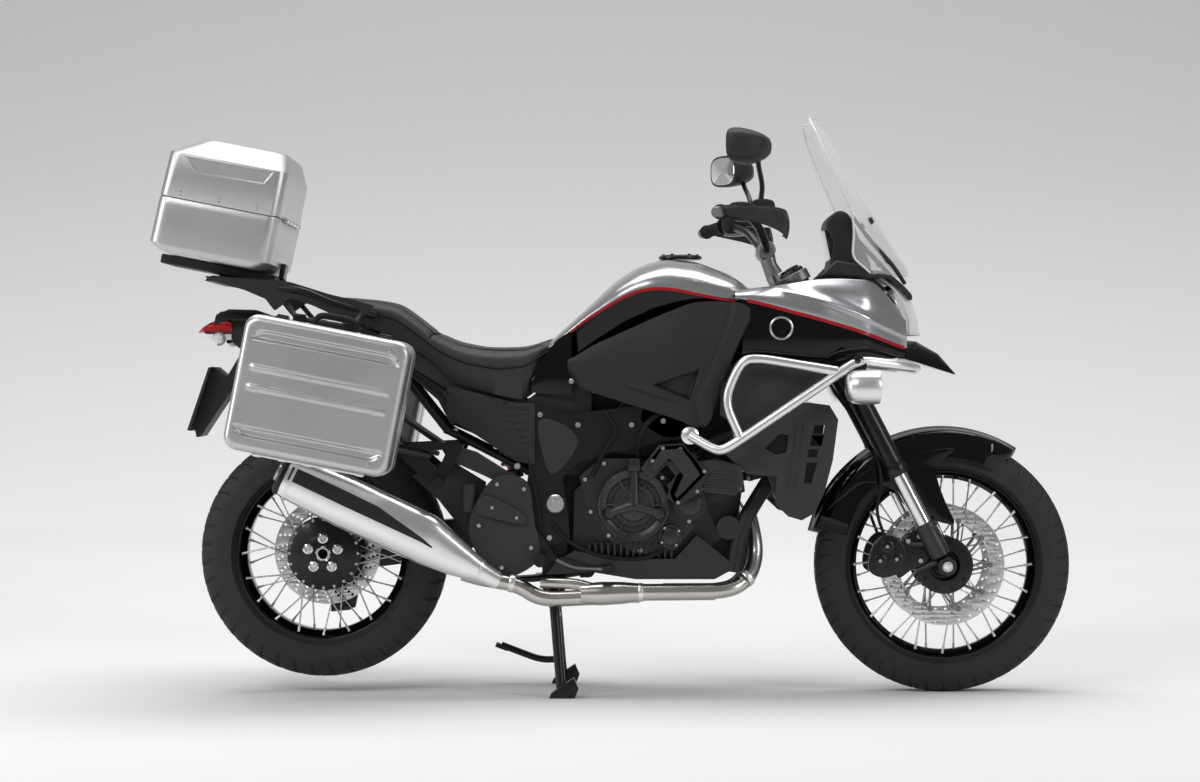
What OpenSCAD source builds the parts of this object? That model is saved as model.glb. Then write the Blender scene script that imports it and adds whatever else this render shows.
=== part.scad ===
// Adventure touring motorcycle, parked on its centre stand with two side cases and a top case.
// Millimetres. +X is forward, +Y is the rider's left, +Z is up, and the floor is z = 0.

/* [Chassis] */
// Distance between the two axles
wheelbase = 1595; // [1585:5:1605]
// Angle of the steering axis from the vertical
rake = 27.5; // [27:0.25:28]
// Distance of the steering axis behind the fork legs
fork_offset = 45; // [42:1:48]
// Half the distance between the fork legs
fork_half = 105; // [104:1:107]

/* [Wheels] */
// Outer radius of the front tyre
front_tyre_r = 329; // [327:1:331]
// Half the width of the front tyre
front_tyre_w = 55; // [50:1:57]
// Outer radius of the rear tyre
rear_tyre_r = 318; // [312:1:320]
// Half the width of the rear tyre
rear_tyre_w = 75; // [68:1:78]
// Height of the rear tyre above the floor while the stand is down
rear_lift = 40; // [35:1:45]
// Radius of the front brake discs
front_disc_r = 155; // [150:1:157]
// Radius of the rear brake disc
rear_disc_r = 138; // [130:1:140]
// Spokes on each side of a wheel
spokes_a_side = 20; // [16:2:24]

/* [Luggage] */
// Nose-down tilt of all three cases
case_tilt = 11; // [10:0.5:12]
// Length, depth and height of a side case
pannier = [407, 222, 333]; // [200:1:450]
// Thickness of a case wall
case_wall = 5; // [3:0.5:6]
// Width of the top case
top_case_w = 476; // [440:2:480]

/* [Hidden] */
$fn = 48;
round_fn = 32;

front_axle = [844, 0, front_tyre_r];
rear_axle = [front_axle.x - wheelbase, 0, rear_tyre_r + rear_lift];
running_gap = 0.05;
axle_r = 15;
axle_bore_r = 9;
axle_half = 132;
front_disc_y = 61;
rear_disc_y = 52;

// Heights along the fork, measured from the front axle.
slider_top = 118;
tube_bottom = 268;
lower_clamp = 640;
upper_clamp = 815;
tube_top = 852;
clamp_h = 34;
stem_r = 17;
head_r = 32;
tube_r = 27;
slider_r = 21.5;

stand_pivot = [-158, 0, 285];
stand_foot_x = -138;
side_pivot = [-75, 190, 300];
side_stand_splay = 12.5;

pannier_centre = [-724, 0, 765];
pannier_inner = 256;
pannier_seam = 366;
seam_gap = 1;
hinge_gap = 6;
top_case_corner = [-1176, 0, 1132];
top_case_l = 312;
top_case_seam = 139;
top_case_h = 306;
top_case_crease = 255;

// ---------------------------------------------------------------- helpers

function unit(v) = v / norm(v);

// A table read at x with its kinks rounded over a window of half-width w.
function soft(x, table, w = 18) =
    (lookup(x - w, table) + lookup(x - w / 2, table) + 2 * lookup(x, table)
     + lookup(x + w / 2, table) + lookup(x + w, table)) / 6;

function mix(a, b, t) = a * (1 - t) + b * t;

function bow(a, b, c, t) = a * (1 - t) * (1 - t) + 2 * b * t * (1 - t) + c * t * t;

// A path whose inner corners are rounded, starting the bend d before each one.
function rounded(p, d, n = 4) = concat(
    [p[0]],
    [for (i = [1:len(p) - 2])
        let (back = p[i - 1] - p[i], ahead = p[i + 1] - p[i],
             a = p[i] + unit(back) * min(d, norm(back) * 0.48),
             c = p[i] + unit(ahead) * min(d, norm(ahead) * 0.48))
        for (j = [0:n]) bow(a, p[i], c, j / n)],
    [p[len(p) - 1]]);

function tangents(p) = [for (i = [0:len(p) - 1]) unit(p[min(i + 1, len(p) - 1)] - p[max(i - 1, 0)])];

function walk(t, n, i = 1) =
    i == len(t) ? n : walk(t, concat(n, [unit(n[i - 1] - t[i] * (n[i - 1] * t[i]))]), i + 1);

function first_normal(t) = unit(cross(t, abs(t.z) < 0.9 ? [0, 0, 1] : [1, 0, 0]));

// A closed solid through rings of points that turn the positive way about the direction they run in.
module skin(rings) {
    n = len(rings[0]);
    last = (len(rings) - 1) * n;
    polyhedron(
        points = [for (r = rings) each r],
        faces = concat(
            [[for (j = [0:n - 1]) j]],
            [for (i = [0:len(rings) - 2], j = [0:n - 1])
                [i * n + j, (i + 1) * n + j, (i + 1) * n + (j + 1) % n]],
            [for (i = [0:len(rings) - 2], j = [0:n - 1])
                [i * n + j, (i + 1) * n + (j + 1) % n, i * n + (j + 1) % n]],
            [[for (j = [0:n - 1]) last + n - 1 - j]]),
        convexity = 8);
}

// A round bar along a path; r is one radius, or one for each point.
module sweep(path, r, sides = 10) {
    t = tangents(path);
    n = walk(t, [first_normal(t[0])]);
    skin([for (i = [0:len(path) - 1])
        let (radius = is_list(r) ? r[i] : r, side = cross(t[i], n[i]))
        [for (j = [0:sides - 1]) path[i] + radius * (cos(360 * j / sides) * n[i] + sin(360 * j / sides)
        * side)]]);
}

// Straight bars through the points, with a ball at each inner one.
module rods(path, r) {
    for (i = [0:len(path) - 2]) {
        v = path[i + 1] - path[i];
        translate(path[i]) rotate([0, acos(v.z / norm(v)), atan2(v.y, v.x)]) cylinder(h = norm(v), r = r);
    }
    for (i = [1:len(path) - 2]) translate(path[i]) sphere(r = r + 1);
}

module pair() {
    children();
    mirror([0, 1, 0]) children();
}

// Extrudes an XZ outline sideways from y0 to y1.
module plate(outline, y0, y1) {
    translate([0, y1, 0]) rotate([90, 0, 0]) linear_extrude(y1 - y0) polygon(outline);
}

// A cylinder along Y from y0 to y1 at [x, z].
module drum(x, z, y0, y1, r) {
    translate([x, y1, z]) rotate([90, 0, 0]) cylinder(h = y1 - y0, r = r);
}

module about_y(at) {
    translate(at) rotate([-90, 0, 0]) rotate_extrude($fn = 96) children();
}

// A body panel on the left side: its edges and its distance from the middle are tables along X.
module panel(x0, x1, top, bottom, y_top, y_mid, y_bottom, wall, nx = 14, nz = 5) {
    skin([for (i = [0:nx])
        let (x = mix(x0, x1, i / nx), lo = soft(x, bottom), hi = soft(x, top),
             a = soft(x, y_bottom), b = soft(x, y_mid), c = soft(x, y_top))
        concat(
            [for (j = [0:nz]) [x, bow(a, b, c, j / nz), mix(lo, hi, j / nz)]],
            [for (j = [nz:-1:0]) [x, bow(a, b, c, j / nz) - wall, mix(lo, hi, j / nz)]])]);
}

// A moulded body across the bike: base height, shoulder height, top height and half-widths along X.
module saddle(x0, x1, top, shoulder, base, half_shoulder, half_base, power, dish = 0, nx = 18, na = 12) {
    skin([for (i = [0:nx])
        let (x = mix(x0, x1, i / nx), zt = soft(x, top), zs = soft(x, shoulder), zb = soft(x, base),
             w = soft(x, half_shoulder), wb = soft(x, half_base))
        concat(
            [[x, wb, zb]],
            [for (k = [0:na])
                let (a = 180 * k / na, c = cos(a), s = pow(sin(a), power))
                [x, w * c, zs + (zt - zs) * s - dish * (1 - c * c) * (1 - c * c)]],
            [[x, -wb, zb]])]);
}

module along_fork() {
    translate(front_axle) rotate([0, -rake, 0]) children();
}

// ---------------------------------------------------------------- chassis

module head_tube() {
    difference() {
        union() {
            along_fork() translate([-fork_offset, 0, lower_clamp + clamp_h + 6])
                cylinder(h = upper_clamp - lower_clamp - clamp_h - 12, r = head_r);
            plate([[330, 826], [366, 850], [430, 925], [440, 985], [420, 1000], [360, 902], [330, 856]],
                -55, 55);
        }
        along_fork() translate([-fork_offset, 0, lower_clamp - 40])
            cylinder(h = upper_clamp - lower_clamp + 120, r = stem_r + running_gap);
    }
}

module frame() {
    color("#2b2c2e") {
        spar = [[-255, 722], [-192, 746], [-115, 716], [-50, 726], [60, 738], [150, 762], [300, 846],
                [352, 886], [386, 930], [388, 880], [300, 780], [170, 655], [95, 643],
                [0, 624], [-62, 604], [-92, 598], [-135, 556], [-122, 470], [-116, 400], [-172, 382],
                [-236, 480], [-216, 600]];
        head_tube();
        pair() {
            plate(spar, 118, 150);
            drum(-153, 490, 148, 162, 19);
            rods([[-215, 134, 690], [-430, 122, 768], [-560, 112, 852], [-700, 100, 914],
                [-870, 80, 936]], 11);
            rods([[-200, 130, 560], [-430, 120, 676], [-568, 112, 850]], 9);
            difference() {
                plate([[-186, 258], [-130, 258], [-122, 410], [-190, 410]], 84, 104);
                drum(stand_pivot.x, stand_pivot.z, 80, 110, 13 + running_gap);
            }
        }
        plate([[310, 800], [366, 850], [366, 880], [318, 850]], -126, 126);
        // Carrier of the side stand's pivot.
        drum(-124, 400, 144, 172, 9);
        plate([[-136, 410], [-112, 410], [-52, 306], [-62, 282], [-92, 280]], 168.4, 172);
        drum(side_pivot.x, side_pivot.z, 170, 174, 11);
        drum(-150, 640, -126, 126, 16);
        drum(-160, 410, -126, 126, 16);
        drum(-700, 914, -102, 102, 8);
        drum(-420, 671, -122, 122, 7);
    }
}

module engine() {
    color("#3a3b3d") {
        plate([[-110, 372], [-90, 350], [210, 350], [270, 400], [232, 480], [190, 500], [160, 570],
               [-40, 585], [-105, 520]], -112, 112);
        plate([[200, 470], [330, 520], [318, 600], [260, 630], [165, 590]], -113, 113);
        plate([[-20, 580], [120, 586], [90, 690], [10, 700]], -105, 105);
    }
}

module undercowl() {
    pair() plate([[-175, 312], [-60, 318], [50, 300], [250, 300], [305, 330], [255, 372], [205, 412],
                  [150, 352], [40, 350], [-20, 356], [-105, 372], [-150, 345]], 114, 168);
}

module engine_covers() {
    color("#333436") {
        undercowl();
        mirror([0, 1, 0]) {
            plate([[-92, 560], [-40, 604], [60, 606], [128, 560], [200, 490], [196, 430], [150, 372],
                   [60, 362], [-20, 400], [-70, 470]], 114, 150);
            drum(45, 488, 149, 186, 88);
            drum(45, 488, 185, 200, 52);
            drum(186, 492, 149, 172, 42);
            drum(138, 408, 149, 168, 30);
            plate([[82, 598], [118, 642], [168, 640], [232, 572], [212, 520], [150, 484], [128, 540],
                [165, 575],
                   [148, 600]], 152, 212);
            plate([[200, 560], [238, 596], [318, 590], [322, 520], [205, 520]], 132, 188);
            drum(285, 430, 114, 160, 30);
        }
        drum(60, 478, 114, 178, 82);
        drum(60, 478, 177, 190, 44);
        plate([[-95, 540], [-40, 590], [120, 590], [180, 520], [170, 420], [60, 372], [-60, 400]], 114,
            148);
    }
}

tank_top = [[-175, 896], [-150, 922], [-80, 985], [0, 1062], [60, 1100], [130, 1122], [210, 1112],
            [290, 1080], [335, 1050], [352, 1022]];
tank_shoulder = [[-175, 880], [-140, 908], [-80, 955], [0, 1004], [50, 1028], [100, 1036], [150, 1032],
                 [255, 1010], [352, 1000]];
tank_half = [[-175, 92], [-140, 110], [-80, 140], [0, 176], [80, 196], [200, 200], [300, 184], [352, 156]];

module fuel_tank() {
    color("#b9bbbd") saddle(-160, 352, tank_top, tank_shoulder,
        [[-172, 780], [-100, 780], [100, 870], [352, 900]], tank_half,
        [[-172, 88], [0, 112], [352, 112]], 0.75, nx = 20);
}

module side_covers() {
    color("#2e2f31") pair() {
        panel(-106, 300,
            [[-106, 852], [-60, 890], [100, 962], [190, 998], [240, 1002], [322, 992]],
            [[-106, 800], [-60, 772], [150, 706], [205, 682], [322, 760]],
            [[-106, 172], [0, 196], [150, 212], [322, 212]],
            [[-106, 184], [0, 214], [150, 236], [322, 226]],
            [[-106, 164], [0, 176], [150, 204], [250, 208], [322, 206]], 8);
        // Black flank between the seat nose and the big cover.
        panel(-206, -116,
            [[-206, 790], [-160, 880], [-116, 900]],
            [[-206, 770], [-116, 764]],
            [[-214, 132], [-112, 140]],
            [[-214, 140], [-112, 158]],
            [[-214, 130], [-112, 146]], 12, nx = 6);
        panel(-430, -264,
            [[-430, 782], [-264, 742]],
            [[-430, 712], [-395, 690], [-264, 604]],
            [[-430, 146], [-264, 158]],
            [[-430, 156], [-264, 170]],
            [[-430, 146], [-264, 158]], 9, nx = 8);
    }
}

seat_top = [[-735, 1018], [-690, 1018], [-600, 1010], [-550, 1000], [-505, 968], [-455, 928], [-400, 904],
            [-340, 893], [-230, 890], [-195, 900], [-160, 914]];
seat_shoulder = [[-735, 992], [-650, 982], [-560, 968], [-500, 925], [-440, 880], [-380, 850], [-300, 832],
                 [-230, 838], [-160, 886]];
seat_base = [[-735, 975], [-640, 945], [-540, 895], [-490, 868], [-450, 838], [-415, 798], [-300, 766],
             [-235, 752], [-195, 790], [-160, 868]];
seat_half = [[-735, 108], [-640, 138], [-540, 156], [-430, 158], [-320, 166], [-240, 150], [-190, 112],
    [-160, 82]];

module seat() {
    color("#3c3d3f") saddle(-730, -162, seat_top, seat_shoulder, seat_base, seat_half,
        [[-730, 96], [-640, 122], [-540, 138], [-430, 136], [-320, 142], [-240, 138], [-190, 104],
        [-162, 76]],
        0.55, nx = 22);
}

stripe_line = [[250, 1018], [350, 1000], [500, 960], [600, 932], [740, 884]];

module upper_fairing() {
    color("#8d8f92") {
        pair() panel(300, 742,
            [[300, 1030], [345, 1036], [400, 1042], [500, 1058], [560, 1062], [650, 1058], [700, 1014],
            [742, 948]],
            stripe_line,
            [[300, 184], [400, 170], [520, 168], [640, 148], [742, 96]],
            [[300, 217], [400, 226], [520, 226], [640, 196], [742, 118]],
            [[300, 206], [400, 214], [520, 214], [640, 186], [742, 112]], 10, nx = 18);
        // Cowl over the headlight, under the screen.
        plate([[662, 1086], [704, 1100], [770, 1036], [757, 1030], [705, 1086]], -66, 66);
    }
}

module beak() {
    skin([for (i = [0:7])
        let (x = mix(744, 876, i / 7), w = lookup(x, [[744, 104], [760, 92], [820, 48], [876, 4]]),
             top = lookup(x, [[700, 905], [778, 905], [835, 872], [876, 822]]),
             low = lookup(x, [[700, 864], [760, 852], [876, 819]]))
        [[x, w, low], [x, w, mix(low, top, 0.5)], [x, w * 0.4, top], [x, -w * 0.4, top],
         [x, -w, mix(low, top, 0.5)], [x, -w, low]]]);
}

module lower_fairing() {
    color("#101113") {
        pair() {
            panel(318, 738, [for (p = stripe_line) [p[0], p[1] - 3]],
                [[318, 850], [400, 846], [560, 838], [640, 852], [738, 862]],
                [[318, 204], [400, 212], [520, 212], [640, 184], [738, 110]],
                [[318, 214], [400, 222], [520, 218], [640, 184], [738, 112]],
                [[318, 200], [400, 204], [520, 198], [640, 164], [738, 108]], 10, nx = 16);
            panel(308, 560, [[308, 826], [330, 832], [400, 834], [560, 828]],
                [[308, 672], [330, 672], [400, 716], [520, 800], [560, 820]],
                [[308, 196], [400, 198], [560, 190]],
                [[308, 204], [400, 210], [560, 196]],
                [[308, 196], [400, 196], [560, 186]], 10, nx = 12);
        }
        beak();
    }
}

module headlight() {
    color("#d7dadb") skin([for (i = [0:8])
        let (z = mix(922, 1074, i / 8), w = lookup(z, [[922, 70], [960, 84], [1020, 92], [1078, 84]]),
             nose = lookup(z, [[922, 786], [960, 782], [1000, 770], [1040, 742], [1078, 694]]),
             back = lookup(z, [[922, 720], [1078, 662]]))
        [[back, -w, z], [nose - 26, -w, z], [nose - 6, -w * 0.6, z], [nose, 0, z],
         [nose - 6, w * 0.6, z], [nose - 26, w, z], [back, w, z]]]);
}

// Screen: centre line, side edge and half-width are tables of height.
screen_nose = [[1072, 762], [1095, 757], [1135, 727], [1247, 660], [1475, 523]];
screen_side = [[1072, 655], [1110, 598], [1180, 602], [1230, 596], [1410, 516], [1475, 492]];
screen_half = [[1072, 150], [1110, 172], [1240, 186], [1380, 176], [1440, 150], [1475, 100]];

module windscreen() {
    n = 16;
    m = 12;
    function point(s, j, inner) =
        let (z = mix(1072, 1475, j / n), x = soft(z, screen_nose), side = soft(z, screen_side))
        [mix(x, side, s * s) - inner * (1 - 0.6 * s * s), s * (soft(z, screen_half) - inner * abs(s)), z];
    color("#dfe3e6") skin([for (j = [0:n])
        concat([for (i = [0:m]) point(-1 + 2 * i / m, j, 0)], [for (i = [m:-1:0]) point(-1 + 2 * i / m, j,
            5)])]);
}

module instrument_panel() {
    color("#1b1c1e") {
        plate([[557, 1092], [568, 1088], [652, 1082], [622, 1170], [598, 1226], [570, 1236], [548, 1204],
            [563, 1150]],
            -92, 92);
        pair() plate([[564, 1072], [572, 1100], [612, 1090], [632, 1070]], 88, 130);
    }
}

bar_y = 250;
crash_path = [[186, bar_y - 24, 664], [244, bar_y, 630], [268, bar_y + 4, 628], [312, bar_y + 4, 656],
              [556, bar_y, 820], [606, bar_y - 6, 852], [700, bar_y - 30, 842], [752, bar_y - 72, 834],
              [766, bar_y - 130, 832], [768, 0, 832]];

module crash_bars() {
    color("#c9cbcd") {
        half = rounded(crash_path, 34);
        other = [for (i = [len(half) - 2:-1:0]) [half[i].x, -half[i].y, half[i].z]];
        sweep(concat(half, other), 12.7, 12);
        pair() {
            sweep(rounded([[312, bar_y + 4, 657], [270, bar_y, 752], [312, bar_y, 852], [356, bar_y, 858],
                           [552, bar_y, 826]], 40), 12, 12);
            drum(186, 664, 150, bar_y - 14, 16);
        }
    }
}

module fog_lamps() {
    color("#c4c6c8") pair() {
        translate([572, bar_y + 4, 786]) rotate([0, 90, 0]) rotate_extrude()
            polygon([[0, 0], [30, 2], [42, 14], [43, 78], [38, 90], [0, 92]]);
        plate([[580, 800], [600, 842], [622, 842], [612, 800]], bar_y - 8, bar_y + 6);
    }
}

module radiators() {
    color("#2f3032") pair() {
        plate([[402, 500], [470, 470], [532, 560], [548, 700], [520, 738], [440, 690], [404, 640]], 158,
            186);
        difference() {
            plate([[268, 622], [300, 640], [480, 750], [540, 742], [562, 704], [545, 560], [508, 472],
                [478, 452],
                   [432, 462], [398, 492], [406, 560], [322, 562]], 188, 200);
            plate([[375, 632], [412, 668], [434, 664], [428, 622], [404, 616]], 180, 210);
            plate([[492, 560], [520, 560], [532, 640], [506, 640]], 180, 210);
        }
    }
}

collector_y = -186;

module exhaust_pipes() {
    color("#cfd1d3") {
        sweep(rounded([[300, -60, 500], [352, -95, 470], [366, -120, 380], [330, -160, 300],
            [280, collector_y, 272],
                       [60, collector_y, 268], [-30, collector_y, 268]], 55), 19, 12);
        sweep(rounded([[300, 60, 500], [358, 90, 465], [372, 60, 380], [345, -60, 300],
            [290, collector_y + 34, 276],
                       [120, collector_y + 30, 276]], 55), 19, 12);
        sweep([[60, collector_y, 268], [-20, collector_y, 266], [-84, collector_y, 262]], [24, 28, 26], 12);
        sweep(rounded([[-60, collector_y, 258], [-190, collector_y, 250], [-250, collector_y, 290],
                       [-330, collector_y - 8, 302], [-372, collector_y - 10, 312]], 46), 20, 12);
        sweep(rounded([[-60, collector_y, 276], [-100, collector_y, 290], [-190, collector_y + 6, 292]],
            30), 15, 10);
    }
}

muffler_front = [-385, -196, 325];
muffler_back = [-842, -200, 552];

module muffler() {
    axis = muffler_back - muffler_front;
    pitch = atan2(axis.z, -axis.x);
    color("#e4e5e6") difference() {
        translate(muffler_front) rotate([0, pitch, 0]) translate([0, 0, 12]) hull() {
            translate([-norm(axis), 0, -36]) rotate([0, 90, 0]) cylinder(h = 20, r = 36, $fn = round_fn);
            translate([-norm(axis), 0, 10]) rotate([0, 90, 0]) cylinder(h = 20, r = 46, $fn = round_fn);
            translate([-150, 0, 18]) rotate([0, 90, 0]) cylinder(h = 20, r = 50, $fn = round_fn);
            translate([-150, 0, -36]) rotate([0, 90, 0]) cylinder(h = 20, r = 34, $fn = round_fn);
            translate([-6, 0, -20]) rotate([0, 90, 0]) cylinder(h = 16, r = 24, $fn = round_fn);
        }
        translate(muffler_back) rotate([0, pitch, 0]) translate([-20, 0, 8]) rotate([0, 90, 0])
            cylinder(h = 70, r = 24);
    }
}

module swingarm() {
    color("#303133") {
        difference() {
            plate([[-262, 424], [-262, 508], [-420, 440], [-640, 420], [-700, 430], [-790, 420],
                   [-826, 370], [-800, 300], [-740, 285], [-660, 310], [-420, 340]], 84, 150);
            drum(-751, 358, 80, 100, 66);
        }
        drum(-751, 358, 100, 158, 72);
        drum(-751, 358, -8, 101, 22);
        drum(-153, 490, -112, 112, 26);
        plate([[-140, 450], [-140, 530], [-230, 540], [-330, 470], [-320, 410], [-230, 432]], -92, 112);
        // Rear brake caliper on its bracket.
        plate([[-760, 268], [-690, 262], [-640, 310], [-660, 330], [-700, 300], [-760, 300]], 66, 86);
        plate([[-742, 200], [-680, 210], [-670, 262], [-700, 275], [-750, 262]], 62, 82);
        plate([[-742, 200], [-690, 205], [-698, 215], [-742, 211]], 48, 64);
    }
}

module rear_shock() {
    color("#8a2d2d") sweep([[-250, 0, 545], [-262, 0, 575], [-330, 0, 740]], 26, 12);
}

module luggage_rack() {
    color("#3b3c3e") {
        pair() {
            plate([[-612, 992], [-663, 1006], [-725, 1021], [-818, 1050], [-850, 1056], [-1036, 1066],
                [-1030, 1058],
                   [-935, 1030], [-884, 1008], [-862, 980], [-820, 1010], [-766, 992], [-700, 962],
                   [-640, 958]],
                160, 186);
            // Side case rails: two hooks above, one stay below.
            sweep(rounded([[-640, 172, 975], [-660, 236, 935], [-800, 240, 958], [-830, 172, 1000]], 24),
                7, 8);
            sweep(rounded([[-660, 240, 932], [-620, 240, 700], [-560, 232, 630], [-470, 170, 610]], 40),
                7, 8);
        }
        plate([[-850, 1042], [-1036, 1054], [-1030, 1062], [-850, 1054]], -186, 186);
        plate([[-960, 1050], [-1012, 1054], [-1012, 1085], [-960, 1076]], -100, 100);
    }
}

module rear_fender() {
    color("#17181a") {
        plate([[-860, 946], [-935, 984], [-1018, 980], [-1022, 966], [-985, 960], [-985, 900],
            [-960, 880], [-1000, 812],
               [-1029, 836], [-1045, 828], [-1086, 694], [-1078, 657], [-1066, 660], [-990, 775],
               [-925, 880], [-850, 920]],
            -52, 52);
        plate([[-1034, 838], [-1042, 836], [-1096, 676], [-1088, 674]], -90, 90);
        // Inner guard ahead of the rear tyre.
        plate([[-395, 560], [-440, 640], [-560, 722], [-700, 772], [-704, 764], [-566, 714], [-448, 632],
            [-405, 556]],
            -82, 82);
    }
}

module tail_light() {
    color("#c8161c") {
        plate([[-1072, 926], [-1050, 952], [-1012, 959], [-987, 948], [-987, 921]], -66, 66);
        pair() translate([-1010, 66, 908]) rotate([-90, 0, 0]) cylinder(h = 70, r1 = 8, r2 = 15);
    }
}

module footrests() {
    color("#2c2d2f") pair() {
        plate([[-325, 500], [-292, 516], [-232, 480], [-215, 440], [-172, 392], [-150, 352], [-192, 340],
            [-240, 400],
               [-262, 450], [-310, 462]], 168, 176);
        translate([-190, 176, 352]) rotate([-90, 0, 0]) cylinder(h = 92, r = 14);
        plate([[-204, 338], [-172, 338], [-172, 352], [-204, 352]], 120, 178);
        plate([[-140, 345], [-70, 322], [-30, 322], [-30, 332], [-70, 334], [-140, 358]], 172.5, 182);
        plate([[-34, 318], [-8, 318], [-8, 334], [-34, 334]], 172.5, 226);
        difference() {
            plate([[-560, 640], [-400, 648], [-384, 640], [-440, 536], [-470, 540], [-560, 622]], 152, 166);
            plate([[-500, 622], [-425, 628], [-450, 578]], 140, 180);
        }
        translate([-448, 164, 545]) rotate([-90, 0, 0]) cylinder(h = 74, r = 12);
    }
}

// ---------------------------------------------------------------- luggage

module case_frame(at) {
    translate(at) rotate([0, case_tilt, 0]) children();
}

// A rectangle with rounded corners in the XZ plane, at distance y.
function case_ring(l, h, r, y) = [
    for (c = [[1, 1, 90], [1, -1, 0], [-1, -1, -90], [-1, 1, 180]], k = [0:3])
        [c.x * (l / 2 - r) + r * cos(c[2] - 30 * k), y, c.y * (h / 2 - r) + r * sin(c[2] - 30 * k)]];

module case_solid(y0, y1, inset) {
    l = pannier[0] - 2 * inset;
    h = pannier[2] - 2 * inset;
    r = 34 - inset;
    skin([case_ring(l, h, r, y0), case_ring(l, h, r, y1 - 16), case_ring(l - 14, h - 14, r - 5, y1 - 5),
          case_ring(l - 30, h - 30, r - 10, y1)]);
}

pannier_outer = pannier_inner + pannier[1];

// Both halves are drawn with the closed side away from the seam.
module pannier_shell() {
    color("#a6a8aa") case_frame(pannier_centre) translate([0, pannier_seam, 0]) mirror([0, 1, 0])
        difference() {
        case_solid(0, pannier_seam - pannier_inner, 0);
        case_solid(-1, pannier_seam - pannier_inner - case_wall, case_wall);
    }
    // Hinge rod and its ears, under the seam.
    color("#1a1b1c") case_frame(pannier_centre) translate([0, pannier_seam + 0.5,
        -pannier[2] / 2 - hinge_gap]) {
        rotate([0, 90, 0]) translate([0, 0, -140]) cylinder(h = 280, r = 4);
        for (x = [-130, 0, 130]) translate([x - 8, -10, -2]) cube([16, 9.5, hinge_gap + 3]);
    }
}

module pannier_lid() {
    color("#b4b6b8") case_frame(pannier_centre) translate([0, pannier_seam + seam_gap, 0]) difference() {
        case_solid(0, pannier_outer - pannier_seam - seam_gap, 0);
        case_solid(-1, pannier_outer - pannier_seam - seam_gap - case_wall, case_wall);
    }
}

module right_pannier() { mirror([0, 1, 0]) pannier_shell(); }
module left_pannier() { pannier_shell(); }
module right_pannier_lid() { mirror([0, 1, 0]) pannier_lid(); }
module left_pannier_lid() { pannier_lid(); }

// Side outline of the top case in its own tilted frame, from its rear bottom corner.
function top_case_side(d) = [
    [d, 24 + d], [24 + d, d], [top_case_l - 24 - d, d], [top_case_l - d, 24 + d], [top_case_l - d, 262 - d],
    [top_case_l - 18 - d, top_case_h - d], [86 + d, top_case_h - d], [10 + d, top_case_crease - d]];

module top_case_solid(d) {
    w = top_case_w / 2 - d;
    intersection() {
        plate(top_case_side(d), -w, w);
        rotate([90, 0, 90]) linear_extrude(top_case_l) polygon([
            [-w, d], [w, d], [w, top_case_crease - d], [w - 72, top_case_h - d],
            [-w + 72, top_case_h - d], [-w, top_case_crease - d]]);
    }
}

module top_case_shell() {
    difference() {
        top_case_solid(0);
        top_case_solid(case_wall);
    }
}

module slab(z0, z1) {
    translate([-50, -400, z0]) cube([500, 800, z1 - z0]);
}

module top_box() {
    color("#b8babc") case_frame(top_case_corner) {
        intersection() {
            top_case_shell();
            slab(-1, top_case_seam);
        }
    }
    color("#1a1b1c") case_frame(top_case_corner) {
        translate([20, -120, -12]) cube([288, 240, 13]);
        translate([top_case_l - 1, -34, -12]) cube([25, 68, 52]);
        // Hinge rod and its ears.
        translate([top_case_l + hinge_gap, -150, top_case_seam + 0.5]) rotate([-90, 0, 0])
            cylinder(h = 300, r = 4);
        for (y = [-140, 0, 140]) translate([top_case_l - 1, y - 8, top_case_seam - 10])
            cube([hinge_gap + 2, 16, 10]);
    }
}

module top_box_lid() {
    color("#c0c2c4") case_frame(top_case_corner) intersection() {
        top_case_shell();
        slab(top_case_seam + seam_gap, 400);
    }
}

// ---------------------------------------------------------------- stands

module centre_stand() {
    color("#0f1011") {
        pair() {
            sweep(rounded([[stand_pivot.x, 122, stand_pivot.z], [stand_pivot.x, 122, 252],
                           [stand_foot_x, 168, 16]], 30), 12, 12);
            plate([[stand_foot_x - 30, 0], [stand_foot_x + 34, 0], [stand_foot_x + 44, 24],
                [stand_foot_x + 32, 52],
                   [stand_foot_x - 10, 24], [stand_foot_x - 26, 12]], 156, 184);
        }
        drum(stand_pivot.x, stand_pivot.z, -128, 128, 13);
        sweep(rounded([[stand_foot_x - 6, 150, 66], [-196, 166, 62], [-302, 168, 102]], 30), 9, 10);
        translate([-300, 168, 102]) rotate([0, 20, 0]) translate([-14, -15, -4]) cube([36, 30, 10]);
    }
}

module side_stand() {
    color("#0f1011") {
        sweep(rounded([side_pivot, side_pivot + [-120, 6, -22], side_pivot + [-262, 10, -30]], 40), 11, 10);
        translate(side_pivot) rotate([0, 0, side_stand_splay]) rotate([90, 0, 0])
            translate([0, 0, -12]) cylinder(h = 24, r = 20);
        translate(side_pivot + [-262, 10, -30]) translate([-20, -20, -6]) cube([12, 48, 44]);
    }
}

// ---------------------------------------------------------------- steering

module clamp_plate(h) {
    linear_extrude(h) {
        translate([-fork_offset, 0]) circle(r = 36);
        for (s = [-1, 1]) translate([0, s * fork_half]) circle(r = tube_r + 9);
        polygon([[-fork_offset - 34, -12], [-14, -fork_half - 34], [28, -fork_half - 22], [24, 0],
                 [28, fork_half + 22], [-14, fork_half + 34], [-fork_offset - 34, 12]]);
    }
}

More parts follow.
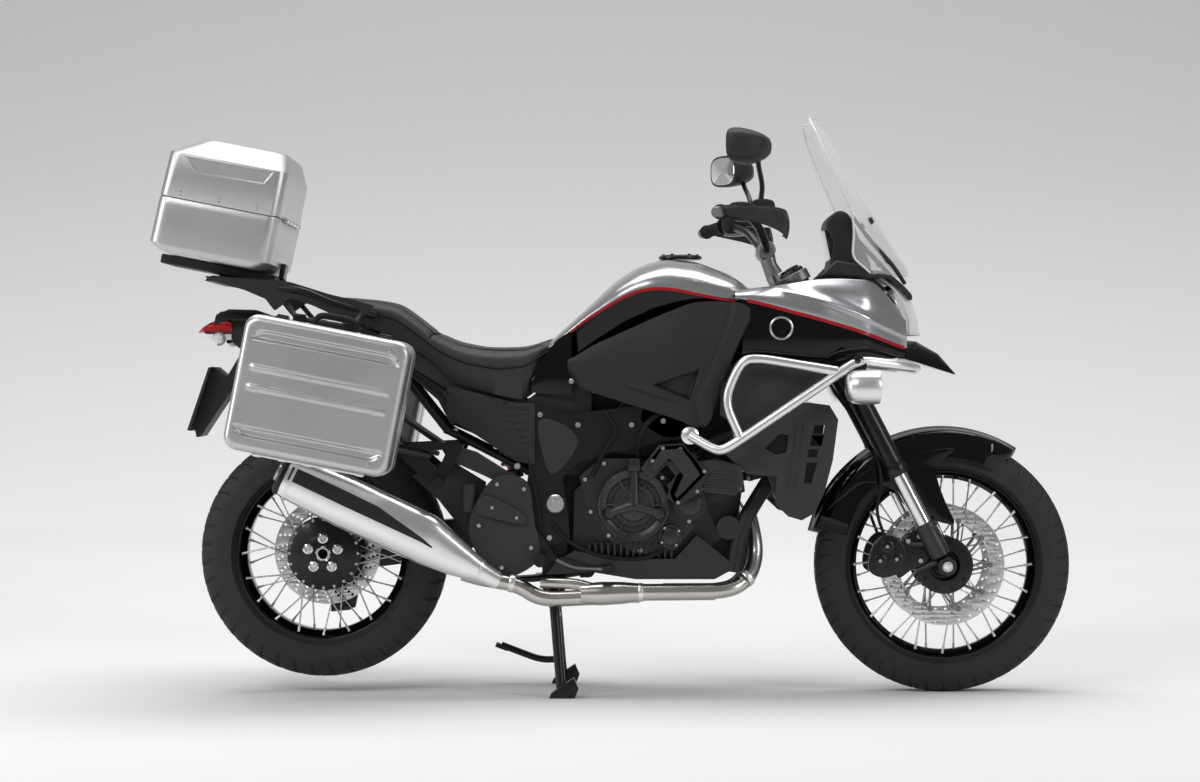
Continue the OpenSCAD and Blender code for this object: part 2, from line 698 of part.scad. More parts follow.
module fork_tubes() {
    color("#151618") along_fork() {
        for (s = [-1, 1]) translate([0, s * fork_half, tube_bottom]) cylinder(h = tube_top - tube_bottom,
            r = tube_r);
        for (s = [-1, 1]) translate([0, s * fork_half, tube_bottom]) cylinder(h = 26, r = tube_r + 4);
        translate([0, 0, lower_clamp]) clamp_plate(clamp_h);
        translate([0, 0, upper_clamp]) clamp_plate(clamp_h * 0.8);
        translate([-fork_offset, 0, lower_clamp]) cylinder(h = upper_clamp - lower_clamp + 40, r = stem_r);
    }
}

module fork_sliders() {
    color("#c7c9cb") difference() {
        along_fork() {
            for (s = [-1, 1]) {
                translate([0, s * fork_half, slider_top - 10]) cylinder(h = tube_bottom - slider_top + 10,
                    r = slider_r);
                translate([0, s * fork_half, 0]) cylinder(h = slider_top, r = 27);
                translate([0, s * fork_half + 24, 0]) rotate([90, 0, 0]) cylinder(h = 48, r = 34);
            }
            rotate([90, 0, 0]) translate([0, 0, -axle_half]) cylinder(h = 2 * axle_half, r = axle_r);
        }
        drum(front_axle.x, front_axle.z, -axle_half - 5, axle_half + 5, axle_bore_r);
    }
}

fender_r = 348;
fender_half = 76;

module fender_ring() {
    about_y(front_axle) polygon([
        [fender_r, -34], [fender_r + 4, 0], [fender_r, 34], [fender_r - 14, 60],
        [fender_r - 40, fender_half - 1],
        [120, fender_half - 1], [120, fender_half - 5], [fender_r - 42, fender_half - 5],
        [fender_r - 17, 57],
        [fender_r - 4, 32], [fender_r, 0], [fender_r - 4, -32], [fender_r - 17, -57],
        [fender_r - 42, 5 - fender_half],
        [120, 5 - fender_half], [120, 1 - fender_half], [fender_r - 40, 1 - fender_half],
        [fender_r - 14, -60]]);
}

module front_fender() {
    color("#0d0e10") intersection() {
        fender_ring();
        plate([[500, 422], [480, 470], [520, 640], [700, 720], [900, 710], [1024, 640], [1022, 616],
            [880, 618],
               [836, 600], [820, 570], [822, 540], [868, 438], [838, 432], [760, 470], [700, 520],
               [640, 560],
               [570, 500], [524, 436]], -90, 90);
    }
}

bar_path = [[252, -402, 1212], [300, -292, 1222], [352, -200, 1205], [386, -100, 1146], [388, -60, 1138]];

module handlebar() {
    color("#1d1e20") {
        half = rounded(bar_path, 40);
        other = [for (i = [len(half) - 1:-1:0]) [half[i].x, -half[i].y, half[i].z]];
        sweep(concat(half, other), 11, 10);
        pair() {
            // Grip, switch block, lever and master cylinder.
            sweep([[251, 405, 1212], [297, 298, 1222]], 17, 12);
            sweep([[299, 294, 1222], [318, 262, 1220]], 23, 12);
            sweep(rounded([[340, 258, 1208], [352, 300, 1196], [318, 396, 1196]], 30), 6, 8);
            translate([352, 236, 1226]) rotate([0, 0, -28]) translate([-26, -22, -12]) cube([56, 44, 34]);
        }
        // Risers from the upper clamp to the bar.
        pair() sweep([[404, 40, 1072], [388, 40, 1138]], 17, 12);
    }
}

module hand_guards() {
    color("#26272a") pair() skin([for (i = [0:8])
        let (t = i / 8, x = bow(262, 456, 422, t), y = bow(424, 430, 252, t),
             h = lookup(t, [[0, 11], [0.4, 22], [0.75, 34], [1, 18]]), mid = bow(1216, 1200, 1178, t))
        [[x, y, mid - h], [x + 4, y + 4, mid], [x, y, mid + h], [x - 5, y - 4, mid + h],
         [x - 1, y - 1, mid], [x - 5, y - 4, mid - h]]]);
}

mirror_at = [334, 386, 1376];

module mirrors() {
    color("#161719") pair() {
        sweep(rounded([[358, 252, 1246], [366, 262, 1290], [352, 330, 1336], [348, 352, 1352]], 30), 6, 8);
        translate(mirror_at) skin([for (i = [0:6])
            let (x = lookup(i, [[0, -40], [1, -38], [2, -20], [4, 14], [6, 42]]),
                 k = lookup(i, [[0, 0.94], [1, 1], [2, 0.98], [4, 0.74], [6, 0.3]]))
            [for (a = [0:30:330]) [x, 80 * k * cos(a) * (abs(cos(a)) > 0.4 ? 1 : 1.06), 46 * k * sin(a)]]]);
    }
}

module front_calipers() {
    color("#1c1d1f") pair() difference() {
        union() {
            plate([[652, 330], [668, 392], [712, 408], [748, 372], [738, 306], [690, 298]],
                front_disc_y - 17, 96);
            plate([[730, 318], [738, 396], [800, 388], [806, 340]], 82, 96);
        }
        drum(front_axle.x, front_axle.z, front_disc_y - 9, front_disc_y + 9, front_disc_r + 6);
    }
}

// ---------------------------------------------------------------- wheels

// A tyre's outline runs over the crown from bead to bead, then back along its inside wall.
module tyre(at, r, w, bead_r, bead_w) {
    steps = 8;
    wall = 8;
    function side(k, t) =
        let (a = 90 - 90 * abs(k) / steps, way = sign(k))
        [mix(bead_r + 14, r, pow(sin(a), 0.8)) - t * sin(a), way * (w - t) * pow(max(cos(a), 0), 0.55)];
    color("#1a1b1c") about_y(at) polygon(concat(
        [[bead_r, -bead_w]], [for (k = [-steps:steps]) side(k, 0)], [[bead_r, bead_w],
        [bead_r, bead_w - wall]],
        [for (k = [steps:-1:-steps]) side(k, wall)], [[bead_r, wall - bead_w]]));
}

module rim(at, bead_r, half, depth) {
    color("#101113") about_y(at) polygon([
        [bead_r + 8, -half], [bead_r + 8, 4 - half], [bead_r - 0.3, 5 - half], [bead_r - 4, 20 - half],
        [bead_r - depth + 8, 30 - half], [bead_r - depth + 8, half - 30], [bead_r - 4, half - 20],
        [bead_r - 0.3, half - 5], [bead_r + 8, half - 4], [bead_r + 8, half], [bead_r - 2, half],
        [bead_r - 12, half - 14], [bead_r - depth, half - 28], [bead_r - depth, 28 - half],
        [bead_r - 12, 14 - half], [bead_r - 2, -half]]);
}

// Laced spokes: each side has spokes that lean forwards and backwards in turn.
module spokes(at, hub_r, hub_y, rim_r, rim_y, lean) {
    n = spokes_a_side;
    for (s = [-1, 1], k = [0:n - 1]) {
        way = k % 2 == 0 ? 1 : -1;
        a = 360 * k / n + (s > 0 ? 180 / n : 0);
        p = [hub_r * cos(a - way * lean), s * (hub_y + way * 2), hub_r * sin(a - way * lean)];
        q = [rim_r * cos(a), s * rim_y, rim_r * sin(a)];
        v = q - p;
        translate(at + p) rotate([0, acos(v.z / norm(v)), atan2(v.y, v.x)]) cylinder(h = norm(v), r = 1.9,
            $fn = 16);
    }
}

front_bead_r = 241;
rear_bead_r = 221;

module front_tyre() { tyre(front_axle, front_tyre_r, front_tyre_w, front_bead_r + 0.3, 32); }
module front_rim() { rim(front_axle, front_bead_r, 37, 20); }

module front_hub() {
    color("#1c1d1f") {
        about_y(front_axle) polygon([
            [axle_r + running_gap, -50], [30, -50], [30, -46], [62, -44], [70, -40], [70, -34], [60, -30],
            [36, -20], [36, 20],
            [60, 30], [70, 34], [70, 40], [62, 44], [30, 46], [30, 50], [axle_r + running_gap, 50]]);
        spokes(front_axle, 66, 37, front_bead_r - 13, 27, 26);
    }
}

module front_discs() {
    color("#cfd1d2") for (s = [-1, 1]) difference() {
        union() {
            drum(front_axle.x, front_axle.z, s * front_disc_y - 2.5, s * front_disc_y + 2.5, front_disc_r);
            drum(front_axle.x, front_axle.z, min(s * 47, s * 60), max(s * 47, s * 60), 58);
        }
        drum(front_axle.x, front_axle.z, -90, 90, 40);
        for (k = [0:5]) translate(front_axle) rotate([0, 60 * k, 0]) translate([84, -90, 0]) rotate(
            [-90, 0, 0])
            cylinder(h = 180, r = 26);
    }
}

module rear_tyre() { tyre(rear_axle, rear_tyre_r, rear_tyre_w, rear_bead_r + 0.3, 47); }
module rear_rim() { rim(rear_axle, rear_bead_r, 53, 22); }

module rear_hub() {
    color("#161719") {
        difference() {
            about_y(rear_axle) polygon([
                [11, -66], [18, -66], [18, -52], [60, -50], [86, -46], [92, -40], [92, -32], [84, -28],
                [60, -20], [52, 20],
                [78, 30], [84, 34], [84, 40], [70, 44], [22 + running_gap, 44], [22 + running_gap, -10],
                [11, -10]]);
            for (k = [0:4]) translate(rear_axle) rotate([0, 72 * k + 18, 0]) translate([44, -80, 0])
                rotate([-90, 0, 0])
                cylinder(h = 40, r = 13);
        }
        spokes(rear_axle, 80, 36, rear_bead_r - 11, 42, 22);
    }
}

module rear_disc() {
    color("#cfd1d2") difference() {
        union() {
            drum(rear_axle.x, rear_axle.z, rear_disc_y - 2.5, rear_disc_y + 2.5, rear_disc_r);
            drum(rear_axle.x, rear_axle.z, 44.2, rear_disc_y, 66);
        }
        drum(rear_axle.x, rear_axle.z, 0, 90, 46);
        for (k = [0:5]) translate(rear_axle) rotate([0, 60 * k, 0]) translate([86, 20, 0]) rotate(
            [-90, 0, 0])
            cylinder(h = 80, r = 22);
    }
}

frame();
engine();
engine_covers();
fuel_tank();
side_covers();
seat();
upper_fairing();
lower_fairing();
headlight();
windscreen();
instrument_panel();
crash_bars();
fog_lamps();
radiators();
exhaust_pipes();
muffler();
swingarm();
rear_shock();
luggage_rack();
rear_fender();
tail_light();
footrests();
right_pannier();
left_pannier();
top_box();
right_pannier_lid();
left_pannier_lid();
top_box_lid();
centre_stand();
side_stand();
fork_tubes();
fork_sliders();
front_fender();
handlebar();
hand_guards();
mirrors();
front_calipers();
front_tyre();
front_rim();
front_hub();
front_discs();
rear_tyre();
rear_rim();
rear_hub();
rear_disc();
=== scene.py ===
from math import acos, cos, exp, hypot, pi, radians, sin

import bmesh
import bpy
import numpy as np
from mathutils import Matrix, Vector


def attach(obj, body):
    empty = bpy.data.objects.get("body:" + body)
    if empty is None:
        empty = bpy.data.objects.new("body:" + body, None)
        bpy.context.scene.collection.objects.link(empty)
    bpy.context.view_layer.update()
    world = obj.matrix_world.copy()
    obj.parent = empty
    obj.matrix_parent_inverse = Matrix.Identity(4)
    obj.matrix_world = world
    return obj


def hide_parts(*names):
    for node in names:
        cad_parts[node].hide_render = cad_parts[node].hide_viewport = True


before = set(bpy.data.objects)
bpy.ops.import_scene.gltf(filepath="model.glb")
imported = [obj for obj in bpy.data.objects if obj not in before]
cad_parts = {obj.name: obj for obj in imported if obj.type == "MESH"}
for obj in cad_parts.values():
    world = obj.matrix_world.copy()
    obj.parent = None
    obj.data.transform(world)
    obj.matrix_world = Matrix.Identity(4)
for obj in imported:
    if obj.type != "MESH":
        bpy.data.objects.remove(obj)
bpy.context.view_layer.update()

# metres in a millimetre: shapes are written in millimetres
MM = 0.001
# the fork's angle from upright
RAKE = radians(27.5)


# ---------------------------------------------------------------- materials

def material(name, color, metallic=0.0, rough=0.5, coat=0.0, bump=0.0, grain=400.0, wear=0.06,
        stretch=(1, 1, 1), transmission=0.0, alpha=1.0, dirt=0.0, kind="noise", spec=0.5):
    m = bpy.data.materials.new(name)
    m.use_nodes = True
    t = m.node_tree
    b = t.nodes["Principled BSDF"]
    b.inputs["Base Color"].default_value = (*color, 1)
    b.inputs["Metallic"].default_value = metallic
    b.inputs["Roughness"].default_value = rough
    b.inputs["Coat Weight"].default_value = coat
    b.inputs["Coat Roughness"].default_value = 0.05
    b.inputs["Transmission Weight"].default_value = transmission
    b.inputs["Alpha"].default_value = alpha
    b.inputs["Specular IOR Level"].default_value = spec
    where = t.nodes.new("ShaderNodeTexCoord")
    scale = t.nodes.new("ShaderNodeMapping")
    scale.inputs["Scale"].default_value = stretch
    t.links.new(where.outputs["Object"], scale.inputs["Vector"])
    soft = t.nodes.new("ShaderNodeTexNoise")
    soft.inputs["Scale"].default_value = 9.0
    soft.inputs["Detail"].default_value = 6.0
    t.links.new(where.outputs["Object"], soft.inputs["Vector"])
    spread = t.nodes.new("ShaderNodeMapRange")
    spread.inputs["To Min"].default_value = max(rough - wear, 0.02)
    spread.inputs["To Max"].default_value = min(rough + wear, 1.0)
    t.links.new(soft.outputs["Fac"], spread.inputs["Value"])
    t.links.new(spread.outputs["Result"], b.inputs["Roughness"])
    if dirt:
        mix = t.nodes.new("ShaderNodeMix")
        mix.data_type = "RGBA"
        mix.inputs[6].default_value = (*color, 1)
        mix.inputs[7].default_value = (*[min(c * 0.6 + 0.05, 1) for c in color], 1)
        gain = t.nodes.new("ShaderNodeMath")
        gain.operation = "MULTIPLY"
        gain.inputs[1].default_value = dirt
        t.links.new(soft.outputs["Fac"], gain.inputs[0])
        t.links.new(gain.outputs["Value"], mix.inputs[0])
        t.links.new(mix.outputs[2], b.inputs["Base Color"])
    if bump:
        fine = t.nodes.new("ShaderNodeTexVoronoi" if kind == "cells" else "ShaderNodeTexNoise")
        fine.inputs["Scale"].default_value = grain
        t.links.new(scale.outputs["Vector"], fine.inputs["Vector"])
        lift = t.nodes.new("ShaderNodeBump")
        lift.inputs["Strength"].default_value = bump
        lift.inputs["Distance"].default_value = 0.0006
        t.links.new(fine.outputs[0], lift.inputs["Height"])
        t.links.new(lift.outputs["Normal"], b.inputs["Normal"])
    return m


# one material for each real finish, by a short name
M = {
    "silver": material("silver_paint", (0.40, 0.405, 0.42), 0.8, 0.28, coat=1.0, bump=0.06, grain=2600,
        wear=0.04),
    "black": material("black_gloss", (0.0018, 0.0018, 0.002), 0.0, 0.1, coat=0.05, wear=0.02, spec=0.3),
    "matte": material("black_matte", (0.017, 0.017, 0.018), 0.0, 0.5, bump=0.5, grain=1500, dirt=0.12,
        spec=0.28),
    "grey": material("grey_matte", (0.026, 0.026, 0.027), 0.0, 0.5, bump=0.45, grain=1300, dirt=0.2,
        spec=0.3),
    "frame": material("frame_paint", (0.004, 0.004, 0.0045), 0.0, 0.34, coat=0.12, bump=0.15, grain=700,
        spec=0.35),
    "engine": material("engine_paint", (0.020, 0.0205, 0.0215), 0.3, 0.3, bump=0.45, grain=900, dirt=0.22,
        spec=0.55),
    "casting": material("casting_light", (0.20, 0.205, 0.21), 0.85, 0.4, bump=0.5, grain=900, dirt=0.4),
    "alu": material("case_aluminium", (0.56, 0.56, 0.56), 0.92, 0.38, bump=0.16, grain=420,
        stretch=(1, 1, 9), wear=0.08, dirt=0.15),
    "steel": material("steel_tube", (0.82, 0.81, 0.80), 1.0, 0.34, bump=0.12, grain=260, stretch=(1, 1, 12),
        wear=0.06),
    "pipe": material("steel_pipe", (0.62, 0.60, 0.57), 1.0, 0.25, bump=0.1, grain=300, dirt=0.5),
    "header": material("header_pipe", (0.020, 0.0195, 0.019), 0.5, 0.5, bump=0.4, grain=500, dirt=0.3,
        spec=0.35),
    "muffler": material("muffler_shell", (0.86, 0.86, 0.86), 0.9, 0.25, bump=0.06, grain=300,
        stretch=(9, 1, 1)),
    "chrome": material("fork_chrome", (0.78, 0.79, 0.80), 1.0, 0.07, wear=0.02),
    "rubber": material("tyre_rubber", (0.014, 0.014, 0.0145), 0.0, 0.6, bump=0.5, grain=900, dirt=0.25,
        spec=0.3),
    "grip": material("grip_rubber", (0.005, 0.005, 0.005), 0.0, 0.7, bump=0.8, grain=700, spec=0.3),
    "disc": material("disc_steel", (0.62, 0.61, 0.60), 1.0, 0.28, bump=0.2, grain=700, wear=0.08),
    "spoke": material("spoke_steel", (0.55, 0.55, 0.56), 1.0, 0.22),
    "seat": material("seat_cover", (0.024, 0.024, 0.025), 0.0, 0.5, bump=0.7, grain=520, dirt=0.15,
        kind="cells", spec=0.32),
    "seam": material("seat_seam", (0.003, 0.003, 0.003), 0.0, 0.6, bump=0.5, grain=2500, spec=0.25),
    "red": material("stripe_red", (0.34, 0.004, 0.008), 0.0, 0.2, coat=0.5),
    "red_lens": material("red_lens", (0.62, 0.006, 0.010), 0.0, 0.07, coat=0.8, transmission=0.15),
    "white_lens": material("white_lens", (0.80, 0.82, 0.84), 0.0, 0.08, coat=1.0, transmission=0.2),
    "reflector": material("reflector", (0.92, 0.93, 0.94), 1.0, 0.10),
    "screen": material("display_glass", (0.004, 0.005, 0.007), 0.0, 0.06, coat=1.0),
    "mirror": material("mirror_glass", (0.8, 0.82, 0.84), 1.0, 0.02, wear=0.0),
    "white": material("plate_white", (0.75, 0.75, 0.73), 0.0, 0.4, coat=0.3),
    "spring": material("spring_red", (0.28, 0.008, 0.010), 0.1, 0.3, coat=0.6),
    "bolt": material("bolt_steel", (0.62, 0.62, 0.63), 1.0, 0.28),
    "badge": material("badge_grey", (0.36, 0.37, 0.38), 0.9, 0.3),
    "glass": material("screen_clear", (0.78, 0.80, 0.82), 0.0, 0.05, alpha=0.22, wear=0.02),
    "edge": material("screen_edge", (0.80, 0.81, 0.82), 0.0, 0.18, alpha=0.75, wear=0.02),
    "lens": material("clear_lens", (0.90, 0.91, 0.92), 0.0, 0.04, alpha=0.5, wear=0.02),
}


# ---------------------------------------------------------------- shapes

def finish(o, mat, replaces=(), body="chassis", slot=None, bevel=0.0, smooth=40):
    """Gives a mesh its material, the body it rides on and the CAD nodes that it replaces."""
    o.data.materials.append(M[mat])
    if bevel:
        round_edges(o, bevel, 35)
    o.data.shade_smooth()
    o.data.set_sharp_from_angle(angle=radians(smooth))
    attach(o, body)
    for n in ([replaces] if isinstance(replaces, str) else replaces):
        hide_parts(n)
    return o


def round_edges(o, width, angle):
    b = o.modifiers.new("bevel", "BEVEL")
    b.width = width * MM
    b.segments = 3
    b.limit_method = "ANGLE"
    b.angle_limit = radians(angle)
    return b


def link(name, data):
    o = bpy.data.objects.new(name, data)
    bpy.context.collection.objects.link(o)
    return o


def face_out(d, merge=0.0):
    """Turns a mesh's faces outward, after joining points closer than merge."""
    b = bmesh.new()
    b.from_mesh(d)
    if merge:
        bmesh.ops.remove_doubles(b, verts=b.verts, dist=merge)
    bmesh.ops.recalc_face_normals(b, faces=b.faces)
    b.to_mesh(d)
    b.free()


def mesh(name, verts, faces):
    d = bpy.data.meshes.new(name)
    d.from_pydata([tuple(c * MM for c in v) for v in verts], [], faces)
    face_out(d)
    return link(name, d)


def loft(name, rings, closed=True, caps=True):
    """Rings are lists of points, all of the same length."""
    n = len(rings[0])
    verts = [p for r in rings for p in r]
    faces = []
    for i in range(len(rings) - 1):
        for j in range(n if closed else n - 1):
            k = (j + 1) % n
            faces.append((i * n + j, i * n + k, (i + 1) * n + k, (i + 1) * n + j))
    if caps:
        faces.append(tuple(range(n)))
        faces.append(tuple((len(rings) - 1) * n + j for j in range(n)))
    return mesh(name, verts, faces)


def between(a, b, c, d, t):
    """A Catmull-Rom curve's point from b, t 0, to c, t 1."""
    return 0.5 * (2 * b + (c - a) * t + (2 * a - 5 * b + 4 * c - d) * t * t
        + (3 * b - a - 3 * c + d) * t ** 3)


def smooth_path(points, step=10.0):
    """A Catmull-Rom curve through the points."""
    p = np.array(points, float)
    p = np.vstack([2 * p[0] - p[1], p, 2 * p[-1] - p[-2]])
    out = []
    for i in range(1, len(p) - 2):
        n = max(2, int(np.linalg.norm(p[i + 1] - p[i]) / step))
        out += [between(*p[i - 1:i + 3], k / n) for k in range(n)]
    out.append(p[-2])
    return np.array(out)


def bend(points, d, n=6):
    """Straight runs with rounded corners."""
    p = [np.array(q, float) for q in points]
    out = [p[0]]
    for i in range(1, len(p) - 1):
        a, c = p[i - 1] - p[i], p[i + 1] - p[i]
        a = p[i] + a / np.linalg.norm(a) * min(d, np.linalg.norm(a) * 0.48)
        c = p[i] + c / np.linalg.norm(c) * min(d, np.linalg.norm(c) * 0.48)
        out += [a * (1 - t) ** 2 + 2 * p[i] * t * (1 - t) + c * t * t for t in np.linspace(0, 1, n + 1)]
    out.append(p[-1])
    return np.array(out)


def pipe(name, path, r, sides=28, flat=1.0):
    p = np.array(path, float)
    t = np.gradient(p, axis=0)
    t /= np.linalg.norm(t, axis=1)[:, None]
    n = np.cross(t[0], [0, 0, 1.0] if abs(t[0][2]) < 0.9 else [1.0, 0, 0])
    n /= np.linalg.norm(n)
    radius = np.interp(np.linspace(0, 1, len(p)), np.linspace(0, 1, len(np.atleast_1d(r))),
        np.atleast_1d(r))
    rings = []
    for i in range(len(p)):
        n = n - t[i] * np.dot(n, t[i])
        n /= np.linalg.norm(n)
        s = np.cross(t[i], n)
        rings.append([p[i] + radius[i] * (cos(a) * n + sin(a) * s * flat)
            for a in np.linspace(0, 2 * pi, sides, endpoint=False)])
    return loft(name, rings)


def lathe(name, profile, at, axis=(0, 1, 0), segs=96, closed=True):
    """Profile points are (radius, distance along the axis)."""
    axis = Vector(axis).normalized()
    u = axis.orthogonal().normalized()
    w = axis.cross(u)
    at = Vector(at)
    rings = []
    for k in range(segs):
        a = 2 * pi * k / segs
        rings.append([tuple(at + u * (r * cos(a)) + w * (r * sin(a)) + axis * y) for r, y in profile])
    n = len(profile)
    verts = [p for r in rings for p in r]
    faces = [(i * n + j, i * n + (j + 1) % n, ((i + 1) % segs) * n + (j + 1) % n, ((i + 1) % segs) * n + j)
        for i in range(segs) for j in range(n if closed else n - 1)]
    return mesh(name, verts, faces)


def turned(name, profile, at, axis=(0, 1, 0), segs=96):
    """A lathe's shape with its profile left open where it meets the axis."""
    return lathe(name, profile, at, axis, segs, closed=False)


def plate(name, outline, y0, y1, holes=(), soft=False, edge=1.5, turn=None):
    """An XZ outline with holes, extruded from y0 to y1 with rounded edges."""
    c = bpy.data.curves.new(name, "CURVE")
    c.dimensions = "2D"
    c.fill_mode = "BOTH"
    c.extrude = abs(y1 - y0) / 2 * MM - edge * MM
    c.bevel_depth = edge * MM
    c.bevel_resolution = 2
    c.offset = -edge * MM
    for loop in [outline, *holes]:
        pts = [np.array(q, float) for q in loop]
        if soft:
            closed = [pts[-1], *pts, pts[0], pts[1]]
            pts = [between(*closed[i:i + 4], t) for i in range(len(pts))
                   for t in np.linspace(0, 1, 8, endpoint=False)]
        s = c.splines.new("POLY")
        s.points.add(len(pts) - 1)
        for k, q in enumerate(pts):
            s.points[k].co = (q[0] * MM, q[1] * MM, 0, 1)
        s.use_cyclic_u = True
    tmp = link(name, c)
    d = bpy.data.meshes.new_from_object(tmp)
    bpy.data.objects.remove(tmp)
    mid = (y0 + y1) / 2 * MM
    for v in d.vertices:
        x, z, h = v.co
        v.co = turn(x, h + mid, z) if turn else (x, h + mid, z)
    face_out(d, 1e-6)
    return link(name, d)


def angles(n, start=0.0):
    return [2 * pi * k / n + start for k in range(n)]


def circle(x, z, r, n=32):
    return [(x + r * cos(a), z + r * sin(a)) for a in angles(n)]


def spoke_end(centre, r, a, y):
    """The point at radius r and angle a round a centre, at y across the bike."""
    return (centre[0] + r * cos(a), y, centre[2] + r * sin(a))


def squircle(a, power):
    """Cosine and sine of an angle on a rounded square."""
    c, s = cos(a), sin(a)
    f = (abs(c) ** power + abs(s) ** power) ** (-1 / power)
    return c * f, s * f


def join(name, parts):
    """One object from several made ones, keeping their places."""
    b = bmesh.new()
    for o in parts:
        b.from_mesh(o.data)
        bpy.data.objects.remove(o)
    d = bpy.data.meshes.new(name)
    b.to_mesh(d)
    b.free()
    return link(name, d)


def unite(name, parts, mat, *more, **options):
    """Joins parts under one name and finishes the result."""
    return finish(join(name, parts), mat, *more, **options)


def both(make):
    """make(side) for the right side, -1, and the left side, 1."""
    for side in (-1, 1):
        make(side, "right" if side < 0 else "left")


def bolt(x, y, z, r=6.0, way=-1, h=5.0):
    """A domed socket bolt standing out along Y."""
    prof = [(0, 0), (r, 0), (r, h * 0.6), (r * 0.8, h), (r * 0.45, h), (r * 0.4, h * 0.4), (0, h * 0.4)]
    return lathe("bolt", prof, (x, y, z), (0, way, 0), 20, closed=False)


def curve_of(table, x, w=18.0):
    t = np.array(table, float)
    f = lambda q: np.interp(q, t[:, 0], t[:, 1])
    return (f(x - w) + f(x - w / 2) + 2 * f(x) + f(x + w / 2) + f(x + w)) / 6


def panel(name, x0, x1, top, bottom, y_top, y_mid, y_bottom, side, wall=4.0, nx=60, nz=16, crease=None):
    """A thin curved panel whose edges and distance from the middle are tables along X."""
    rings = []
    for x in np.linspace(x0, x1, nx):
        lo, hi = curve_of(bottom, x), curve_of(top, x)
        a, b, c = curve_of(y_bottom, x), curve_of(y_mid, x), curve_of(y_top, x)
        out, back = [], []
        for t in np.linspace(0, 1, nz):
            y = a * (1 - t) ** 2 + 2 * b * t * (1 - t) + c * t * t
            z = lo + (hi - lo) * t
            if crease:
                y += crease(x, z)
            out.append((x, side * y, z))
            back.append((x, side * (y - wall), z))
        rings.append(out + back[::-1])
    return loft(name, rings)


# ---------------------------------------------------------------- wheels

def tread(theta, v, n, deep):
    """Depth of the tyre's grooves at an angle and a place across the crown, v from -1 to 1."""
    a = theta * n / (2 * pi)
    side = 1 if v > 0 else -1
    lag = 0.5 if side > 0 else 0.0
    slant = (a + lag + abs(v) * 0.75) % 1.0
    wave = 0.055 * sin(a * 2 * pi)
    if abs(v - wave) < 0.035:
        return deep
    if 0.16 < abs(v) < 0.97 and slant < 0.13:
        return deep
    if abs(abs(v) - 0.52 - wave * 0.6) < 0.028:
        return deep * 0.8
    return 0.0


def tyre(name, at, r, w, bead_r, bead_w, body, blocks):
    segs, across = 560, 56
    steps = []
    for k in range(across + 1):
        a = pi * k / across
        s, c = sin(a), cos(a)
        rr = (bead_r + 14) + (r - bead_r - 14) * s ** 0.8
        y = -w * (1 if c > 0 else -1) * abs(c) ** 0.55
        steps.append((rr, y))
    verts, faces = [], []
    prof = [(bead_r, -bead_w), *steps, (bead_r, bead_w), (bead_r, bead_w - 8), (r - 16, 0),
        (bead_r, 8 - bead_w)]
    n = len(prof)
    for th in angles(segs):
        for k, (rr, y) in enumerate(prof):
            d = 0.0
            if 1 <= k <= across + 1:
                v = y / (w * 0.96)
                if rr > r - 34:
                    d = tread(th, max(-1, min(1, v)), blocks, 6.0)
                elif abs(rr - (bead_r + 26)) < 3.5 or abs(rr - (r - 46)) < 2.5:
                    d = -1.2
            q = rr - d
            verts.append((at[0] + q * cos(th), at[1] + y, at[2] + q * sin(th)))
    for i in range(segs):
        for k in range(n):
            faces.append((i * n + k, i * n + (k + 1) % n, ((i + 1) % segs) * n + (k + 1) % n,
                ((i + 1) % segs) * n + k))
    return finish(mesh(name, verts, faces), "rubber", name, smooth=32, body=body)


def rim(name, at, bead_r, half, depth, body, silver):
    prof = [(bead_r + 8, -half), (bead_r + 8, 4 - half), (bead_r - 0.5, 5 - half), (bead_r - 4, 20 - half),
            (bead_r - depth + 8, 30 - half), (bead_r - depth + 8, half - 30), (bead_r - 4, half - 20),
            (bead_r - 0.5, half - 5), (bead_r + 8, half - 4), (bead_r + 8, half), (bead_r - 2, half + 0.5),
            (bead_r - 6, half - 3), (bead_r - 12, half - 14), (bead_r - depth + 2, half - 24),
            (bead_r - depth, half - 30), (bead_r - depth, 30 - half), (bead_r - depth + 2, 24 - half),
            (bead_r - 12, 14 - half), (bead_r - 6, 3 - half), (bead_r - 2, -half - 0.5)]
    return finish(lathe(name, prof, at, segs=160), silver, name, slot="tube_black", bevel=1.0, body=body)


def spokes(name, at, hub_r, hub_y, rim_r, rim_y, lean, body, n=20):
    parts, nipples = [], []
    for s in (-1, 1):
        for k in range(n):
            way = 1 if k % 2 == 0 else -1
            a = 2 * pi * k / n + (pi / n if s > 0 else 0)
            l = radians(lean)
            p = np.array(at) + [hub_r * cos(a - way * l), s * (hub_y + way * 2), hub_r * sin(a - way * l)]
            q = np.array(at) + [rim_r * cos(a), s * rim_y, rim_r * sin(a)]
            d = (q - p) / np.linalg.norm(q - p)
            parts.append(pipe("s", [p, q], 2.1, 10))
            nipples.append(pipe("n", [q - d * 17, q - d * 3, q + d * 3], [3.3, 3.3, 4.4], 10))
            nipples.append(turned("h", [(0, -3), (4.4, -3), (4.4, 3), (0, 3)], p, tuple(d), 10))
    unite(name, parts, "spoke", body=body)
    unite(name + "_nipples", nipples, "bolt", body=body)


def disc(name, at, y, r, inner, body, holes_on):
    """A brake disc with rings of small holes, each given as a radius and a count."""
    holes = [circle(at[0], at[2], inner, 96)]
    for ring, (hr, count) in enumerate(holes_on):
        for k in range(count):
            a = 2 * pi * (k + 0.5 * (ring % 2)) / count + 0.16 * (ring - 1)
            x, _, z = spoke_end(at, hr, a, 0)
            holes.append(circle(x, z, 3.4, 14))
    return finish(plate(name, circle(at[0], at[2], r, 160), y - 2.4, y + 2.4, holes, edge=0.5), "disc",
        body=body)


